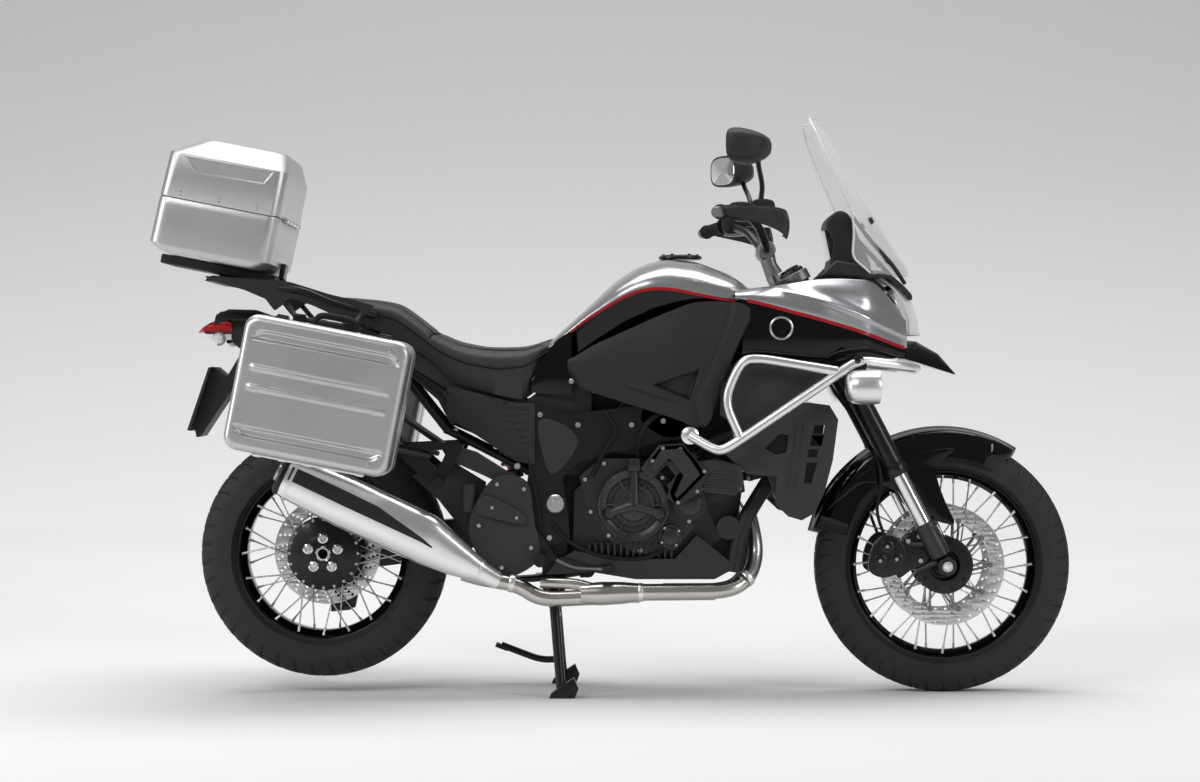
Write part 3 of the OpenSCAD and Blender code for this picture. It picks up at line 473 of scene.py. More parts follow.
# the middles of the front and the rear axle
FA, RA = (844.0, 0.0, 329.0), (-751.0, 0.0, 358.0)
tyre("front_tyre", FA, 329, 55, 241.3, 32, "front_wheel", 46)
tyre("rear_tyre", RA, 318, 75, 221.3, 47, "rear_wheel", 40)
rim("front_rim", FA, 241, 37, 20, "front_wheel", "black")
rim("rear_rim", RA, 221, 53, 22, "rear_wheel", "black")
spokes("front_spokes", FA, 64, 37, 227, 27, 26, "front_wheel")
spokes("rear_spokes", RA, 80, 36, 208, 41, 22, "rear_wheel")

hub = lathe("front_hub", [(15.05, -50), (28, -50), (30, -47), (60, -45), (69, -42), (70, -38), (68, -34),
    (60, -30), (40, -22), (34, -10), (34, 10), (40, 22), (60, 30), (68, 34), (70, 38), (69, 42), (60, 45),
    (30, 47), (28, 50), (15.05, 50)], FA, segs=96)
finish(hub, "frame", "front_hub", slot="engine_paint", bevel=0.8, body="front_wheel")
flanges = []
for s in (-1, 1):
    flanges.append(lathe("flange", [(40, 63.5 * s), (70, 63.5 * s), (74, 65 * s), (74, 67 * s),
        (66, 69 * s), (52, 70 * s), (40, 70 * s)], FA, segs=80))
    flanges += [bolt(*spoke_end(FA, 61, a, s * 69), 4.5, s, 4) for a in angles(10)]
unite("front_hub_flanges", flanges, "frame", bevel=0.6, body="front_wheel")


def front_disc(s, word):
    d = disc(f"front_disc_{word}", FA, s * 61, 155, 116, "front_wheel", ((124, 30), (135, 30), (146, 30)))
    if s < 0:
        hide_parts("front_discs")
    arms = []
    for a in angles(10):
        path = [spoke_end(FA, 52, a - 0.35, s * 52), spoke_end(FA, 90, a - 0.1, s * 58),
            spoke_end(FA, 119, a, s * 61)]
        arms.append(pipe("arm", path, [7, 5, 6], 12, 0.6))
        arms.append(turned("button", [(0, -5), (6, -5), (7, -3), (7, 3), (6, 5), (0, 5)],
            spoke_end(FA, 118, a, s * 61), segs=18))
    arms.append(lathe("carrier", [(42, s * 47), (62, s * 47), (62, s * 57), (54, s * 59), (42, s * 59)], FA,
        segs=72))
    unite(f"front_disc_carrier_{word}", arms, "casting", body="front_wheel")


both(front_disc)

hub = lathe("rear_hub", [(18, -66), (40, -66), (44, -64), (58, -60), (84, -52), (93, -47), (95, -42),
    (93, -34), (84, -29), (62, -20), (54, -8), (54, 14), (62, 24), (80, 30), (85, 34), (85, 40), (70, 44),
    (22.05, 44), (22.05, -10), (18, -10)], RA, segs=120)
finish(hub, "frame", "rear_hub", slot="engine_paint", bevel=1.0, body="rear_wheel")
bits = [bolt(*spoke_end(RA, 88, a, -49), 4.2, -1, 5) for a in angles(20)]
nuts = [turned("nut", [(0, 0), (14, 0), (14.5, 6), (13, 12), (9, 14), (7, 11), (6, 5), (0, 5)],
    spoke_end(RA, 40, a, -62), (0, -1, 0), 36) for a in angles(5, 0.31)]
nuts.append(lathe("ring", [(11.3, 0), (20, 0), (20, 5), (17, 8), (13, 8), (11.3, 6)], (RA[0], -66, RA[2]),
    (0, -1, 0), 48))
unite("rear_hub_bolts", bits, "bolt", body="rear_wheel")
unite("rear_hub_nuts", nuts, "chrome", body="rear_wheel")
d = disc("rear_disc", RA, 52, 138, 100, "rear_wheel", ((108, 26), (119, 26), (130, 26)))
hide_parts("rear_disc")
arms = [lathe("carrier", [(46, 45), (72, 45), (74, 50), (70, 54), (46, 54)], RA, segs=72)]
arms += [pipe("arm", [spoke_end(RA, 66, a, 50), spoke_end(RA, 104, a, 52)], 6, 12, 0.6) for a in angles(8)]
unite("rear_disc_carrier", arms, "casting", body="rear_wheel")


# ---------------------------------------------------------------- steering

def forkward(s, y, off=0.0):
    """A point s along the fork from the front axle, off ahead of the legs."""
    return (FA[0] - s * sin(RAKE) + off * cos(RAKE), y, FA[2] + s * cos(RAKE) + off * sin(RAKE))


AX = (-sin(RAKE), 0, cos(RAKE))
legs, chrome, cast = [], [], []
for s in (-1, 1):
    foot = (FA[0], s * 105, FA[2])
    legs.append(turned("tube", [(0, 262), (28, 262), (31, 266), (31, 286), (28.5, 292), (27, 300),
        (27, 640), (27, 848), (24, 853), (0, 853)], foot, AX, 56))
    legs.append(turned("cap", [(0, 852), (19, 852), (19, 858), (12, 860), (0, 860)], foot, AX, 6))
    chrome.append(turned("stanchion", [(0, 108), (21.5, 108), (21.5, 270), (0, 270)], foot, AX, 56))
    cast.append(turned("lower", [(0, 30), (26, 30), (28, 60), (27, 104), (30, 108), (30, 120), (24, 124),
        (0, 124)], foot, AX, 48))
    cast.append(lathe("foot", [(9.2, -22), (21, -22), (24, -18), (24, 18), (21, 22), (9.2, 22)], foot,
        segs=48))
    cast.append(pipe("lug", [forkward(70, s * 92, -14), forkward(96, s * 84, -62)], [15, 9], 16, 0.7))
    cast.append(pipe("lug", [forkward(20, s * 92, -14), forkward(22, s * 84, -72)], [15, 9], 16, 0.7))
chrome.append(lathe("axle", [(9.1, -136), (13, -136), (14.9, -132), (14.9, 132), (13, 136), (9.1, 136)], FA,
    segs=48))
unite("fork_outer_tubes", legs, "frame", "fork_tubes", body="steering")
unite("fork_stanchions", chrome, "chrome", "fork_sliders", body="steering")
unite("fork_lowers", cast, "engine", slot="fork_chrome", bevel=1.0, body="steering")


def clamp_outline(half):
    return [(-81, 0), (-74, 30), (-50, 60), (-26, half + 20), (0, half + 37), (26, half + 26), (34, half),
        (26, 50), (14, 20), (14, -20), (26, -50), (34, -half), (26, -half - 26), (0, -half - 37),
        (-26, -half - 20), (-50, -60), (-74, -30)]


def on_fork(s):
    def turn(x, h, z):
        p = forkward(s + h / MM, z / MM, x / MM)
        return tuple(c * MM for c in p)
    return turn


yokes = [plate("lower_yoke", clamp_outline(105), -17, 17, soft=True, edge=3, turn=on_fork(657)),
    plate("upper_yoke", clamp_outline(105), -14, 14, [circle(-45, 0, 18, 24)], soft=True, edge=3,
    turn=on_fork(829)), turned("stem", [(0, 655), (16.9, 655), (16.9, 862), (12, 868), (0, 868)],
    forkward(0, 0, -45), AX, 40)]
unite("yokes", yokes, "casting", slot="frame_paint", body="steering")

ring = []
for t in np.linspace(0, 1, 90):
    row = []
    ends = min(1, t / 0.10, (1 - t) / 0.07)
    half = 74 * (0.35 + 0.65 * max(ends, 0) ** 0.5)
    depth = 62 if t < 0.78 else 62 + 60 * (t - 0.78)
    for k in range(25):
        u = -1 + 2 * k / 24
        drop = 14 * abs(u) ** 2.2 + depth * max(0, (abs(u) - 0.80) / 0.20) ** 1.6
        row.append((352 + 5 * exp(-(u * 7) ** 2) - drop, half * (abs(u) ** 0.9) * (1 if u > 0 else -1)))
    inner = [(r - 4, y * 0.95) for r, y in row][::-1]
    b = radians(57 + 109 * t)
    ring.append([spoke_end(FA, r, b, y) for r, y in row + inner])
finish(loft("front_fender", ring), "black", "front_fender", smooth=50, body="steering")


def skirt(side, word):
    """The fender's side panel down to the fork leg."""
    edge = [(540, 470), (600, 540), (700, 600), (800, 622), (868, 628), (842, 604), (822, 580), (826, 545),
        (846, 490), (868, 440), (846, 436), (800, 452), (758, 478), (716, 520), (640, 540), (580, 500)]
    finish(plate(f"fender_skirt_{word}", edge, side * 77 - 3, side * 77 + 3, soft=True, edge=1.5), "black",
        body="steering")


both(skirt)


def caliper(side, word):
    parts = [plate("body", [(648, 322), (656, 372), (682, 404), (716, 402), (742, 372), (738, 322),
        (700, 300), (668, 302)], side * 68, side * 92, soft=True, edge=5),
        plate("bracket", [(720, 300), (736, 392), (776, 420), (806, 392), (800, 340), (760, 320)],
        side * 80, side * 90, soft=True, edge=2)]
    for x, z in ((676, 342), (694, 378), (718, 346)):
        parts.append(turned("pot", [(0, 0), (17, 0), (17, 4), (13, 6), (0, 6)], (x, side * 91, z),
            (0, side, 0), 28))
    heads = [bolt(x, side * 97, z, 5, side, 4) for x, z in ((676, 342), (694, 378), (718, 346))]
    heads += [bolt(x, side * 90, z, 7, side, 6) for x, z in ((776, 404), (780, 342), (748, 392))]
    unite(f"front_caliper_bolts_{word}", heads, "bolt", body="steering")
    unite(f"front_caliper_{word}", parts, "frame", "front_calipers" if side < 0 else (), body="steering")
    hose = smooth_path([(690, side * 88, 398), (668, side * 100, 470), (676, side * 112, 560),
        (640, side * 92, 680), (560, side * 78, 800), (490, side * 60, 960)], 14)
    finish(pipe(f"front_brake_hose_{word}", hose, 4.2, 12), "grip", body="steering")


both(caliper)

bar = [(252, -402, 1212), (300, -292, 1222), (352, -200, 1205), (386, -100, 1146), (388, -50, 1138)]
line = bend(bar + [(x, -y, z) for x, y, z in bar[::-1]], 46)
finish(pipe("handlebar_tube", line, 11, 28), "frame", "handlebar", slot="tube_black", body="steering")


def controls(side, word):
    a, b = np.array([251, side * 412, 1212]), np.array([297, side * 300, 1222])
    d = (b - a) / np.linalg.norm(b - a)
    prof = [(0, 0), (15, 0), (19, 3), (19, 9)]
    for k in range(24):
        prof += [(15.4, 10 + k * 4.2), (16.8, 11.4 + k * 4.2), (16.8, 13.0 + k * 4.2),
            (15.4, 14.2 + k * 4.2)]
    prof += [(19, 112), (22, 114), (22, 121), (0, 121)]
    finish(turned(f"grip_{word}", prof, a, d, 40), "grip", body="steering")
    weight = [(0, -26), (11, -26), (14, -22), (14.5, -2), (12, 0), (0, 0)]
    finish(turned(f"bar_end_{word}", weight, a, d, 32), "casting", body="steering")
    box = plate("switches", [(290, 1240), (318, 1246), (346, 1236), (350, 1212), (330, 1200), (296, 1202)],
        side * 254, side * 296, soft=True, edge=5)
    well = plate("reservoir", [(338, 1248), (362, 1256), (392, 1250), (394, 1226), (366, 1216),
        (340, 1222)], side * 214, side * 262, soft=True, edge=5)
    unite(f"switch_block_{word}", [box, well], "matte", body="steering")
    lever = smooth_path([(350, side * 254, 1216), (362, side * 290, 1202), (342, side * 340, 1200),
        (312, side * 398, 1202), (302, side * 412, 1206)], 8)
    finish(pipe(f"lever_{word}", lever, [7, 6, 5, 5, 6.5], 16, 0.6), "casting", body="steering")
    guard = []
    for t in np.linspace(0, 1, 26):
        x = 258 * (1 - t) ** 2 + 2 * 452 * t * (1 - t) + 418 * t * t
        y = 422 * (1 - t) ** 2 + 2 * 428 * t * (1 - t) + 254 * t * t
        h = np.interp(t, [0, 0.12, 0.45, 0.8, 1], [9, 15, 26, 34, 14])
        z = 1216 * (1 - t) ** 2 + 2 * 1200 * t * (1 - t) + 1176 * t * t
        out = [(x + 6 * (1 - u * u), side * (y + 6 * (1 - u * u)), z + u * h)
            for u in np.linspace(-1, 1, 11)]
        guard.append(out + [(p[0] - 4, p[1] - side * 4, p[2]) for p in out[::-1]])
    finish(loft(f"hand_guard_{word}", guard), "matte", "hand_guards" if side < 0 else (), smooth=50,
        body="steering")
    stem = smooth_path([(360, side * 250, 1246), (364, side * 262, 1286), (352, side * 322, 1330),
        (348, side * 352, 1352)], 8)
    finish(pipe(f"mirror_stem_{word}", stem, 6.5, 20), "frame", slot="black_matte", body="steering")

    def toe(x, y, z):
        """Turns the mirror's face a little towards the rider."""
        c, d = cos(0.42), side * sin(0.42)
        return (334 + (x - 334) * c - (y - side * 386) * d, side * 386 + (x - 334) * d
            + (y - side * 386) * c, z)

    def oval(x, k):
        row = []
        for u, v, tilt in [(*squircle(a, 3.2), cos(a)) for a in angles(56)]:
            row.append(toe(334 + x, side * (386 + 80 * k * u), 1376 + 43 * k * v + 2.4 * tilt))
        return row

    head = ((-42, 0.90), (-41, 0.97), (-36, 1.0), (-22, 0.99), (0, 0.88), (18, 0.72), (32, 0.52),
        (40, 0.30), (42, 0.1))
    finish(loft(f"mirror_{word}", [oval(*q) for q in head]), "matte", "mirrors" if side < 0 else (),
        smooth=60, body="steering")
    glass = ((-42.8, 0.85), (-43.8, 0.83), (-43.8, 0.01))
    finish(loft(f"mirror_glass_{word}", [oval(*q) for q in glass]), "mirror", body="steering")


both(controls)
risers = [pipe("riser", [(412, y, 1076), (400, y, 1100), (389, y, 1137)], [20, 16, 19], 28)
    for y in (-42, 42)]
risers.append(plate("bridge", [(366, 1128), (372, 1156), (400, 1160), (412, 1140), (402, 1120),
    (380, 1114)], -60, 60, soft=True, edge=5))
unite("risers", risers, "casting", body="steering")


# ---------------------------------------------------------------- bodywork

def saddle(name, x0, x1, top, shoulder, base, half, half_base, power, nx=60, na=40, groove=None):
    rings = []
    for x in np.linspace(x0, x1, nx):
        zt, zs, zb = (curve_of(t, x) for t in (top, shoulder, base))
        w, wb = curve_of(half, x), curve_of(half_base, x)
        r = [(x, wb, zb), (x, wb + (w - wb) * 0.6, zb + (zs - zb) * 0.55)]
        for k in range(na + 1):
            a = pi * k / na
            r.append((x, w * cos(a), zs + (zt - zs) * sin(a) ** power))
        r += [(x, -wb - (w - wb) * 0.6, zb + (zs - zb) * 0.55), (x, -wb, zb)]
        if groove:
            r = [groove(*p) for p in r]
        rings.append(r)
    return loft(name, rings)


TOP = [(-175, 896), (-150, 922), (-80, 985), (0, 1060), (60, 1098), (130, 1118), (210, 1110), (290, 1080),
    (335, 1052), (352, 1030)]
SHO = [(-175, 880), (-140, 908), (-80, 955), (0, 1004), (50, 1028), (100, 1036), (150, 1032), (255, 1010),
    (352, 1000)]
HALF = [(-175, 92), (-140, 110), (-80, 140), (0, 176), (80, 196), (200, 200), (300, 190), (352, 168)]
tank = finish(saddle("fuel_tank", -172, 352, TOP, SHO, [(-172, 780), (-100, 780), (100, 870), (352, 900)],
    HALF, [(-172, 88), (0, 112), (352, 112)], 0.75, nx=80, na=64), "silver", "fuel_tank", smooth=60)
tank.data.materials.append(M["black"])
for face in tank.data.polygons:
    x, y, z = (c / MM for c in face.center)
    if z < curve_of(SHO, x) - 0.5:
        face.material_index = 1
cap = [turned("cap", [(0, 1118), (52, 1116), (56, 1118), (56, 1123), (50, 1127), (20, 1128), (0, 1127)],
    (168, 0, 0), (0, 0, 1), 56)]
cap += [turned("b", [(0, 1126), (4, 1126), (4, 1130), (0, 1130)], (x, y, 0), (0, 0, 1), 16)
        for x, y in circle(168, 0, 44, 6)]
unite("fuel_cap", cap, "frame")

SEAT_TOP = [(-735, 1018), (-690, 1018), (-600, 1010), (-550, 1000), (-505, 968), (-455, 928), (-400, 904),
    (-340, 894), (-230, 892), (-195, 901), (-160, 914)]
SEAT_SH = [(-735, 990), (-650, 978), (-560, 960), (-500, 916), (-440, 872), (-380, 846), (-300, 832),
    (-230, 838), (-160, 886)]
SEAT_B = [(-735, 975), (-640, 945), (-540, 895), (-490, 868), (-450, 838), (-415, 798), (-300, 766),
    (-235, 752), (-195, 790), (-160, 868)]
SEAT_W = [(-735, 108), (-640, 138), (-540, 156), (-430, 158), (-320, 166), (-240, 150), (-190, 112),
    (-160, 82)]
SEAT_WB = [(-730, 96), (-640, 122), (-540, 138), (-430, 136), (-320, 142), (-240, 138), (-190, 104),
    (-162, 76)]


def seat_form(x, y, z):
    """Stitched valleys and a soft dish sink the seat's surface a little."""
    top = curve_of(SEAT_TOP, x)
    half = curve_of(SEAT_W, x)
    if z > curve_of(SEAT_SH, x) + 4:
        z -= 5.0 * exp(-((x + 452 + 0.0008 * y * y) / 7) ** 2)
        z -= 2.4 * exp(-((abs(y) - half * 0.72) / 5) ** 2)
        z -= 4.0 * (1 - min(1, abs(y) / half) ** 2) * exp(-((x + 300) / 70) ** 2)
    return (x, y, z)


seat = finish(saddle("seat", -730, -162, SEAT_TOP, SEAT_SH, SEAT_B, SEAT_W, SEAT_WB, 0.55, nx=150, na=90,
    groove=seat_form), "seat", "seat", smooth=70)
piping = []
for s in (-1, 1):
    pts = [(x, s * (curve_of(SEAT_W, x) + 0.5), curve_of(SEAT_SH, x)) for x in np.linspace(-722, -172, 70)]
    piping.append(pipe("p", pts, 2.6, 10))
    pts = [(x, s * curve_of(SEAT_W, x) * 0.74, curve_of(SEAT_SH, x)
        + (curve_of(SEAT_TOP, x) - curve_of(SEAT_SH, x)) * sin(acos(0.74)) ** 0.55 - 1.2)
        for x in np.linspace(-700, -190, 90)]
    piping.append(pipe("p", pts, 1.5, 8))
pts = []
for a in np.linspace(0.25, pi - 0.25, 50):
    x = -452 - 0.0008 * (158 * cos(a)) ** 2
    pts.append((x, 158 * cos(a), curve_of(SEAT_SH, x) + (curve_of(SEAT_TOP, x) - curve_of(SEAT_SH,
        x)) * sin(a) ** 0.55 - 4.0))
piping.append(pipe("p", pts, 2.4, 10))
unite("seat_seams", piping, "seam")

STRIPE = [(250, 1018), (350, 1000), (500, 960), (600, 932), (740, 884)]
FT = [(300, 1030), (345, 1036), (400, 1042), (500, 1058), (560, 1062), (650, 1058), (700, 1014), (742, 948)]


def crease(x, z):
    """A raised line that runs down from the fairing's top to its nose."""
    line = np.interp(x, [300, 401, 541, 600, 735], [1040, 1037, 996, 975, 920])
    d = z - line
    return 5.0 * exp(-(d / 9) ** 2) * np.interp(x, [380, 430, 735],
        [0, 1, 1]) - 3.0 * exp(-((d - 22) / 16) ** 2)


STRAP = [(297, 1003), (318, 1006), (337, 982), (337, 955), (305, 886), (263, 791), (247, 733), (237, 680),
    (208, 690), (198, 746), (231, 812), (263, 892), (289, 960)]
PIT = [(92, 792), (212, 832), (186, 752)]
FACET = [(4, 806), (96, 790), (182, 748), (150, 742), (40, 776)]


def reach(outline, x, z):
    """How far a point lies inside an outline, below zero outside it."""
    best, inside = 1e9, False
    for (x0, z0), (x1, z1) in zip(outline, outline[1:] + outline[:1]):
        dx, dz = x1 - x0, z1 - z0
        t = max(0.0, min(1.0, ((x - x0) * dx + (z - z0) * dz) / (dx * dx + dz * dz)))
        best = min(best, hypot(x - x0 - t * dx, z - z0 - t * dz))
        if (z0 > z) != (z1 > z) and x < x0 + (z - z0) * dx / dz:
            inside = not inside
    return best if inside else -best


def knee(x, z):
    """The tank side panel's relief: a strap at its front edge, a pit and a facet before it."""
    h = 11.0 * max(0.0, min(1.0, reach(STRAP, x, z) / 5 + 0.5))
    h -= 20.0 * max(0.0, min(1.0, reach(PIT, x, z) / 6))
    h += 8.0 * max(0.0, min(1.0, reach(FACET, x, z) / 10))
    return h


SKIN_EDGE = [(300, 206), (400, 214), (520, 214), (640, 186), (742, 112)]


def stripe(x, widths, heights, side, corners):
    """A thin band along a skin, its corners given as steps out from and up from the skin's edge."""
    return [[(q, side * (w + dy), z + dz) for dy, dz in corners] for q, w, z in zip(x, widths, heights)]


def fairing(side, word):
    finish(panel(f"upper_fairing_{word}", 300, 742, FT, STRIPE, [(300, 178), (400, 168), (520, 168),
        (640, 148), (742, 96)], [(300, 214), (400, 226), (520, 226), (640, 196), (742, 118)], SKIN_EDGE,
        side, 4, 110, 40, crease), "silver", "upper_fairing" if side < 0 else (), smooth=60)
    low = [(p[0], p[1] - 3) for p in STRIPE]
    finish(panel(f"lower_fairing_{word}", 318, 738, low, [(318, 850), (400, 846), (560, 838), (640, 852),
        (738, 862)], [(318, 204), (400, 212), (520, 212), (640, 184), (738, 110)],
        [(318, 214), (400, 222), (520, 218), (640, 184), (738, 112)], [(318, 200), (400, 204), (520, 198),
        (640, 164), (738, 108)], side, 4, 90, 24), "black", "lower_fairing" if side < 0 else (), smooth=60)
    finish(panel(f"knee_fairing_{word}", 262, 560, [(262, 792), (318, 842), (400, 842), (560, 834)],
        [(262, 720), (320, 662), (400, 716), (520, 800), (560, 820)], [(262, 196), (400, 198), (560, 190)],
        [(262, 204), (400, 210), (560, 196)], [(262, 196), (400, 196), (560, 186)], side, 4, 50, 20),
        "grey")
    x = np.linspace(330, 736, 60)
    band = stripe(x, [curve_of(SKIN_EDGE, q) for q in x], [curve_of(STRIPE, q) for q in x], side,
        ((1.6, 4), (1.6, -5), (-3, -5), (-3, 4)))
    finish(loft(f"red_stripe_{word}", band), "red")
    x = np.linspace(-160, 300, 60)
    band = stripe(x, [curve_of(HALF, q) for q in x], [curve_of(SHO, q) for q in x], side,
        ((1.4, 3), (1.8, -5), (-6, -6), (-6, 3)))
    finish(loft(f"tank_stripe_{word}", band), "red")
    at, way = (415, side * 214, 934), (0, side, 0)
    finish(turned(f"badge_{word}", [(0, 0), (30, 0), (30, 3), (27, 4.5), (25, 3), (0, 3)], at, way, 56),
        "badge")
    face = [(0, 3), (24, 3), (24, 4.2), (12, 4.6), (11, 3.6), (0, 3.6)]
    finish(turned(f"badge_face_{word}", face, at, way, 48), "black")
    finish(panel(f"side_cover_{word}", -122, 338, [(-122, 852), (-60, 890), (100, 962), (190, 998),
        (240, 1002), (322, 998), (338, 978)], [(-122, 838), (-105, 790), (-60, 772), (150, 706), (205, 682),
        (237, 682), (249, 733), (265, 791), (305, 886), (338, 958)], [(-122, 168), (0, 196), (150, 210),
        (338, 210)], [(-122, 178), (0, 214), (150, 236), (338, 220)], [(-122, 158), (0, 176), (150, 204),
        (250, 208), (338, 212)], side, 6, 170, 80, knee), "matte", "side_covers" if side < 0 else (),
        smooth=60)
    finish(panel(f"nose_flank_{word}", -214, -112, [(-214, 800), (-160, 900), (-112, 930)],
        [(-214, 772), (-112, 764)], [(-214, 132), (-112, 140)], [(-214, 140), (-112, 158)],
        [(-214, 130), (-112, 146)], side, 4, 30, 20), "black")
    finish(panel(f"under_seat_panel_{word}", -430, -205, [(-430, 790), (-250, 745), (-205, 745)],
        [(-430, 712), (-395, 690), (-250, 596), (-205, 590)], [(-430, 128), (-205, 152)],
        [(-430, 138), (-205, 168)], [(-430, 128), (-205, 160)], side, 4, 40, 20, lambda x,
        z: 2.5 * sin(z * 0.36) if -335 < x < -215 and z > 600 else 0), "matte")


both(fairing)
beak = []
for x in np.linspace(742, 880, 36):
    w = np.interp(x, [742, 760, 820, 862, 880], [106, 92, 50, 20, 4])
    top = np.interp(x, [742, 778, 835, 880], [908, 905, 873, 822])
    low = np.interp(x, [742, 760, 880], [856, 852, 818])
    beak.append([(x, w * u, low + (top - low) * (1 - abs(u) ** 2.2) ** 0.6)
        for u in np.linspace(-1, 1, 31)] + [(x, w * u * 0.96, low) for u in np.linspace(0.96, -0.96, 9)])
finish(loft("beak", beak), "black", smooth=60)


# ---------------------------------------------------------------- lamps, screen and dashboard

NOSE = [(1072, 762), (1095, 757), (1135, 727), (1247, 660), (1475, 523)]
EDGE = [(1072, 655), (1110, 598), (1180, 602), (1230, 596), (1410, 516), (1475, 492)]
WIDE = [(1072, 150), (1110, 172), (1240, 186), (1380, 176), (1440, 150), (1475, 100)]


def screen_point(s, z, inner=0.0):
    x, e = curve_of(NOSE, z), curve_of(EDGE, z)
    return (x * (1 - s * s) + e * s * s - inner, s * (curve_of(WIDE, z) - inner * abs(s)), z)


rings = []
for z in np.linspace(1072, 1475, 60):
    rings.append([screen_point(s, z) for s in np.linspace(-1, 1, 41)] + [screen_point(s, z, 4)
        for s in np.linspace(1, -1, 41)])
finish(loft("windscreen", rings), "glass", "windscreen", smooth=70)
rims = []
for s in (-1, 1):
    pts = [np.array(screen_point(s, z)) + (0, s * 0.5, 0) for z in np.linspace(1076, 1470, 60)]
    rims.append(pipe("edge", pts, 2.6, 10))
rims.append(pipe("edge", [np.array(screen_point(s, 1474)) for s in np.linspace(-1, 1, 40)], 2.6, 10))
unite("screen_edge", rims, "edge")
stay = []
for s in (-1, 1):
    stay.append(pipe("arm", smooth_path([(604, s * 104, 1222), (650, s * 108, 1160), (708, s * 96, 1096),
        (740, s * 80, 1052)], 10), [8, 11, 12, 10], 16, 0.5))
    for z in (1110, 1210):
        p = screen_point(s * 0.62, z)
        stay.append(turned("b", [(0, -4), (9, -4), (9, 4), (7, 6), (0, 6)], p, (0.86, 0, 0.5), 24))
unite("screen_mount", stay, "matte")

dash = plate("dash_pod", [(548, 1092), (560, 1088), (652, 1082), (622, 1170), (598, 1226), (566, 1236),
    (540, 1204), (556, 1150)], -90, 90, soft=True, edge=8)
cheek = [plate("cheek", [(520, 1068), (560, 1108), (640, 1094), (664, 1066)], s * 90, s * 148, edge=8)
    for s in (-1, 1)]
unite("instrument_panel", [dash, *cheek], "matte", "instrument_panel")
finish(plate("dash_display", [(-70, -40), (70, -40), (70, 40), (-70, 40)], -2, 2, edge=1.5, turn=lambda x,
    h, z: (0.545 + h * 0.86 - z * 0.2, x, 1.152 + z * 0.95)), "screen")
cowl = [[(x, w * u, z + 14 * (1 - abs(u) ** 2.5)) for u in np.linspace(-1, 1, 33)] + [(x, w * u, z - 8)
    for u in np.linspace(1, -1, 33)] for x, w, z in ((636, 150, 1072), (664, 142, 1074), (690, 124, 1072),
    (716, 106, 1058), (740, 92, 1038), (760, 78, 1018))]
finish(loft("screen_cowl", cowl), "matte", smooth=60)

LENS_NOSE = [(922, 786), (960, 782), (1000, 770), (1040, 742), (1078, 694)]
lens, back = [], []
for z in np.linspace(922, 1076, 30):
    w = np.interp(z, [922, 960, 1020, 1078], [70, 92, 100, 88])
    nose = curve_of(LENS_NOSE, z, 10)
    us = np.linspace(-1, 1, 41)
    lens.append([(nose - 34 * abs(u) ** 2.4, w * u, z) for u in us])
    back.append([(nose - 26 - 40 * (1 - abs(u)) - 30 * abs(u) ** 3, w * u * 0.97, z) for u in us])
finish(loft("headlight_lens", lens, closed=False, caps=False), "lens", "headlight")
finish(loft("headlight_bowl", back, closed=False, caps=False), "reflector", slot="fork_chrome")
lamps = []
for s in (-1, 1):
    for z, r in ((1012, 33), (962, 27)):
        x = curve_of(LENS_NOSE, z, 10) - 52
        lamps.append(turned("cup", [(0, -22), (r * 0.5, -18), (r * 0.85, -8), (r, 6), (r + 3, 7),
            (r + 3, -4), (r * 0.5, -24), (0, -26)], (x, s * 44, z), (0.94, 0, 0.34), 48))
unite("headlight_reflectors", lamps, "reflector")
ball = [turned("ball", [(0, -12), (12, -10), (19, 0), (14, 9), (0, 13)],
    (curve_of([(922, 786), (1012, 768), (1078, 694)], z, 10) - 58, s * 44, z), (0.94, 0, 0.34), 32)
    for s in (-1, 1) for z in (1012, 962)]
unite("headlight_projectors", ball, "white_lens")
frame_bar = [pipe("f", [(p[0] + 1, p[1], p[2]) for p in [lens[i][j] for i in range(30)]], 3, 10)
    for j in (0, 40)]
frame_bar += [pipe("f", [(p[0] + 1, p[1], p[2]) for p in lens[i]], 3, 10) for i in (0, 29)]
unite("headlight_surround", frame_bar, "edge")


def fog(side, word):
    at = (572, side * 254, 786)
    shell = turned("shell", [(0, 0), (20, 1), (32, 6), (40, 18), (43, 34), (43.5, 60), (43, 80), (41, 86),
        (38, 87), (37, 80), (0, 78)], at, (1, 0, 0), 72)
    finish(shell, "steel", "fog_lamps" if side < 0 else (), slot="steel_tube", bevel=0.6)
    finish(turned(f"fog_cup_{word}", [(0, 40), (18, 46), (32, 66), (37, 82)], at, (1, 0, 0), 56),
        "reflector")
    finish(turned(f"fog_lens_{word}", [(0, 92), (20, 90), (34, 86), (38, 83)], at, (1, 0, 0), 56), "lens")
    finish(turned(f"fog_bulb_{word}", [(0, 46), (8, 48), (9, 60), (5, 66), (0, 67)], at, (1, 0, 0), 28),
        "white_lens")
    stay = plate("stay", [(578, 798), (590, 850), (604, 866), (620, 856), (626, 838), (612, 800)],
        side * 248 - 4, side * 248 + 4, soft=True)
    unite(f"fog_stay_{word}", [stay, bolt(603, side * 252, 852, 8, side, 8)], "frame")


both(fog)

# ---------------------------------------------------------------- crash bars and radiators

half = [(186, 226, 664), (244, 250, 630), (268, 254, 628), (312, 254, 656), (556, 250, 820),
    (606, 244, 852), (700, 220, 842), (752, 178, 834), (766, 120, 832), (768, 0, 832)]
full = half + [(x, -y, z) for x, y, z in half[-2::-1]]
bars = [pipe("main", bend(full, 34, 8), 12.7, 28)]
for s in (-1, 1):
    bars.append(pipe("loop", bend([(312, s * 254, 657), (270, s * 250, 752), (312, s * 250, 852),
        (356, s * 250, 858), (552, s * 250, 826)], 42, 8), 12, 28))
    bars.append(turned("flange", [(0, 0), (22, 0), (22, 74), (15, 78), (0, 78)], (186, s * 150, 664),
        (0, s, 0), 36))
unite("crash_bars", bars, "steel", "crash_bars", smooth=60)


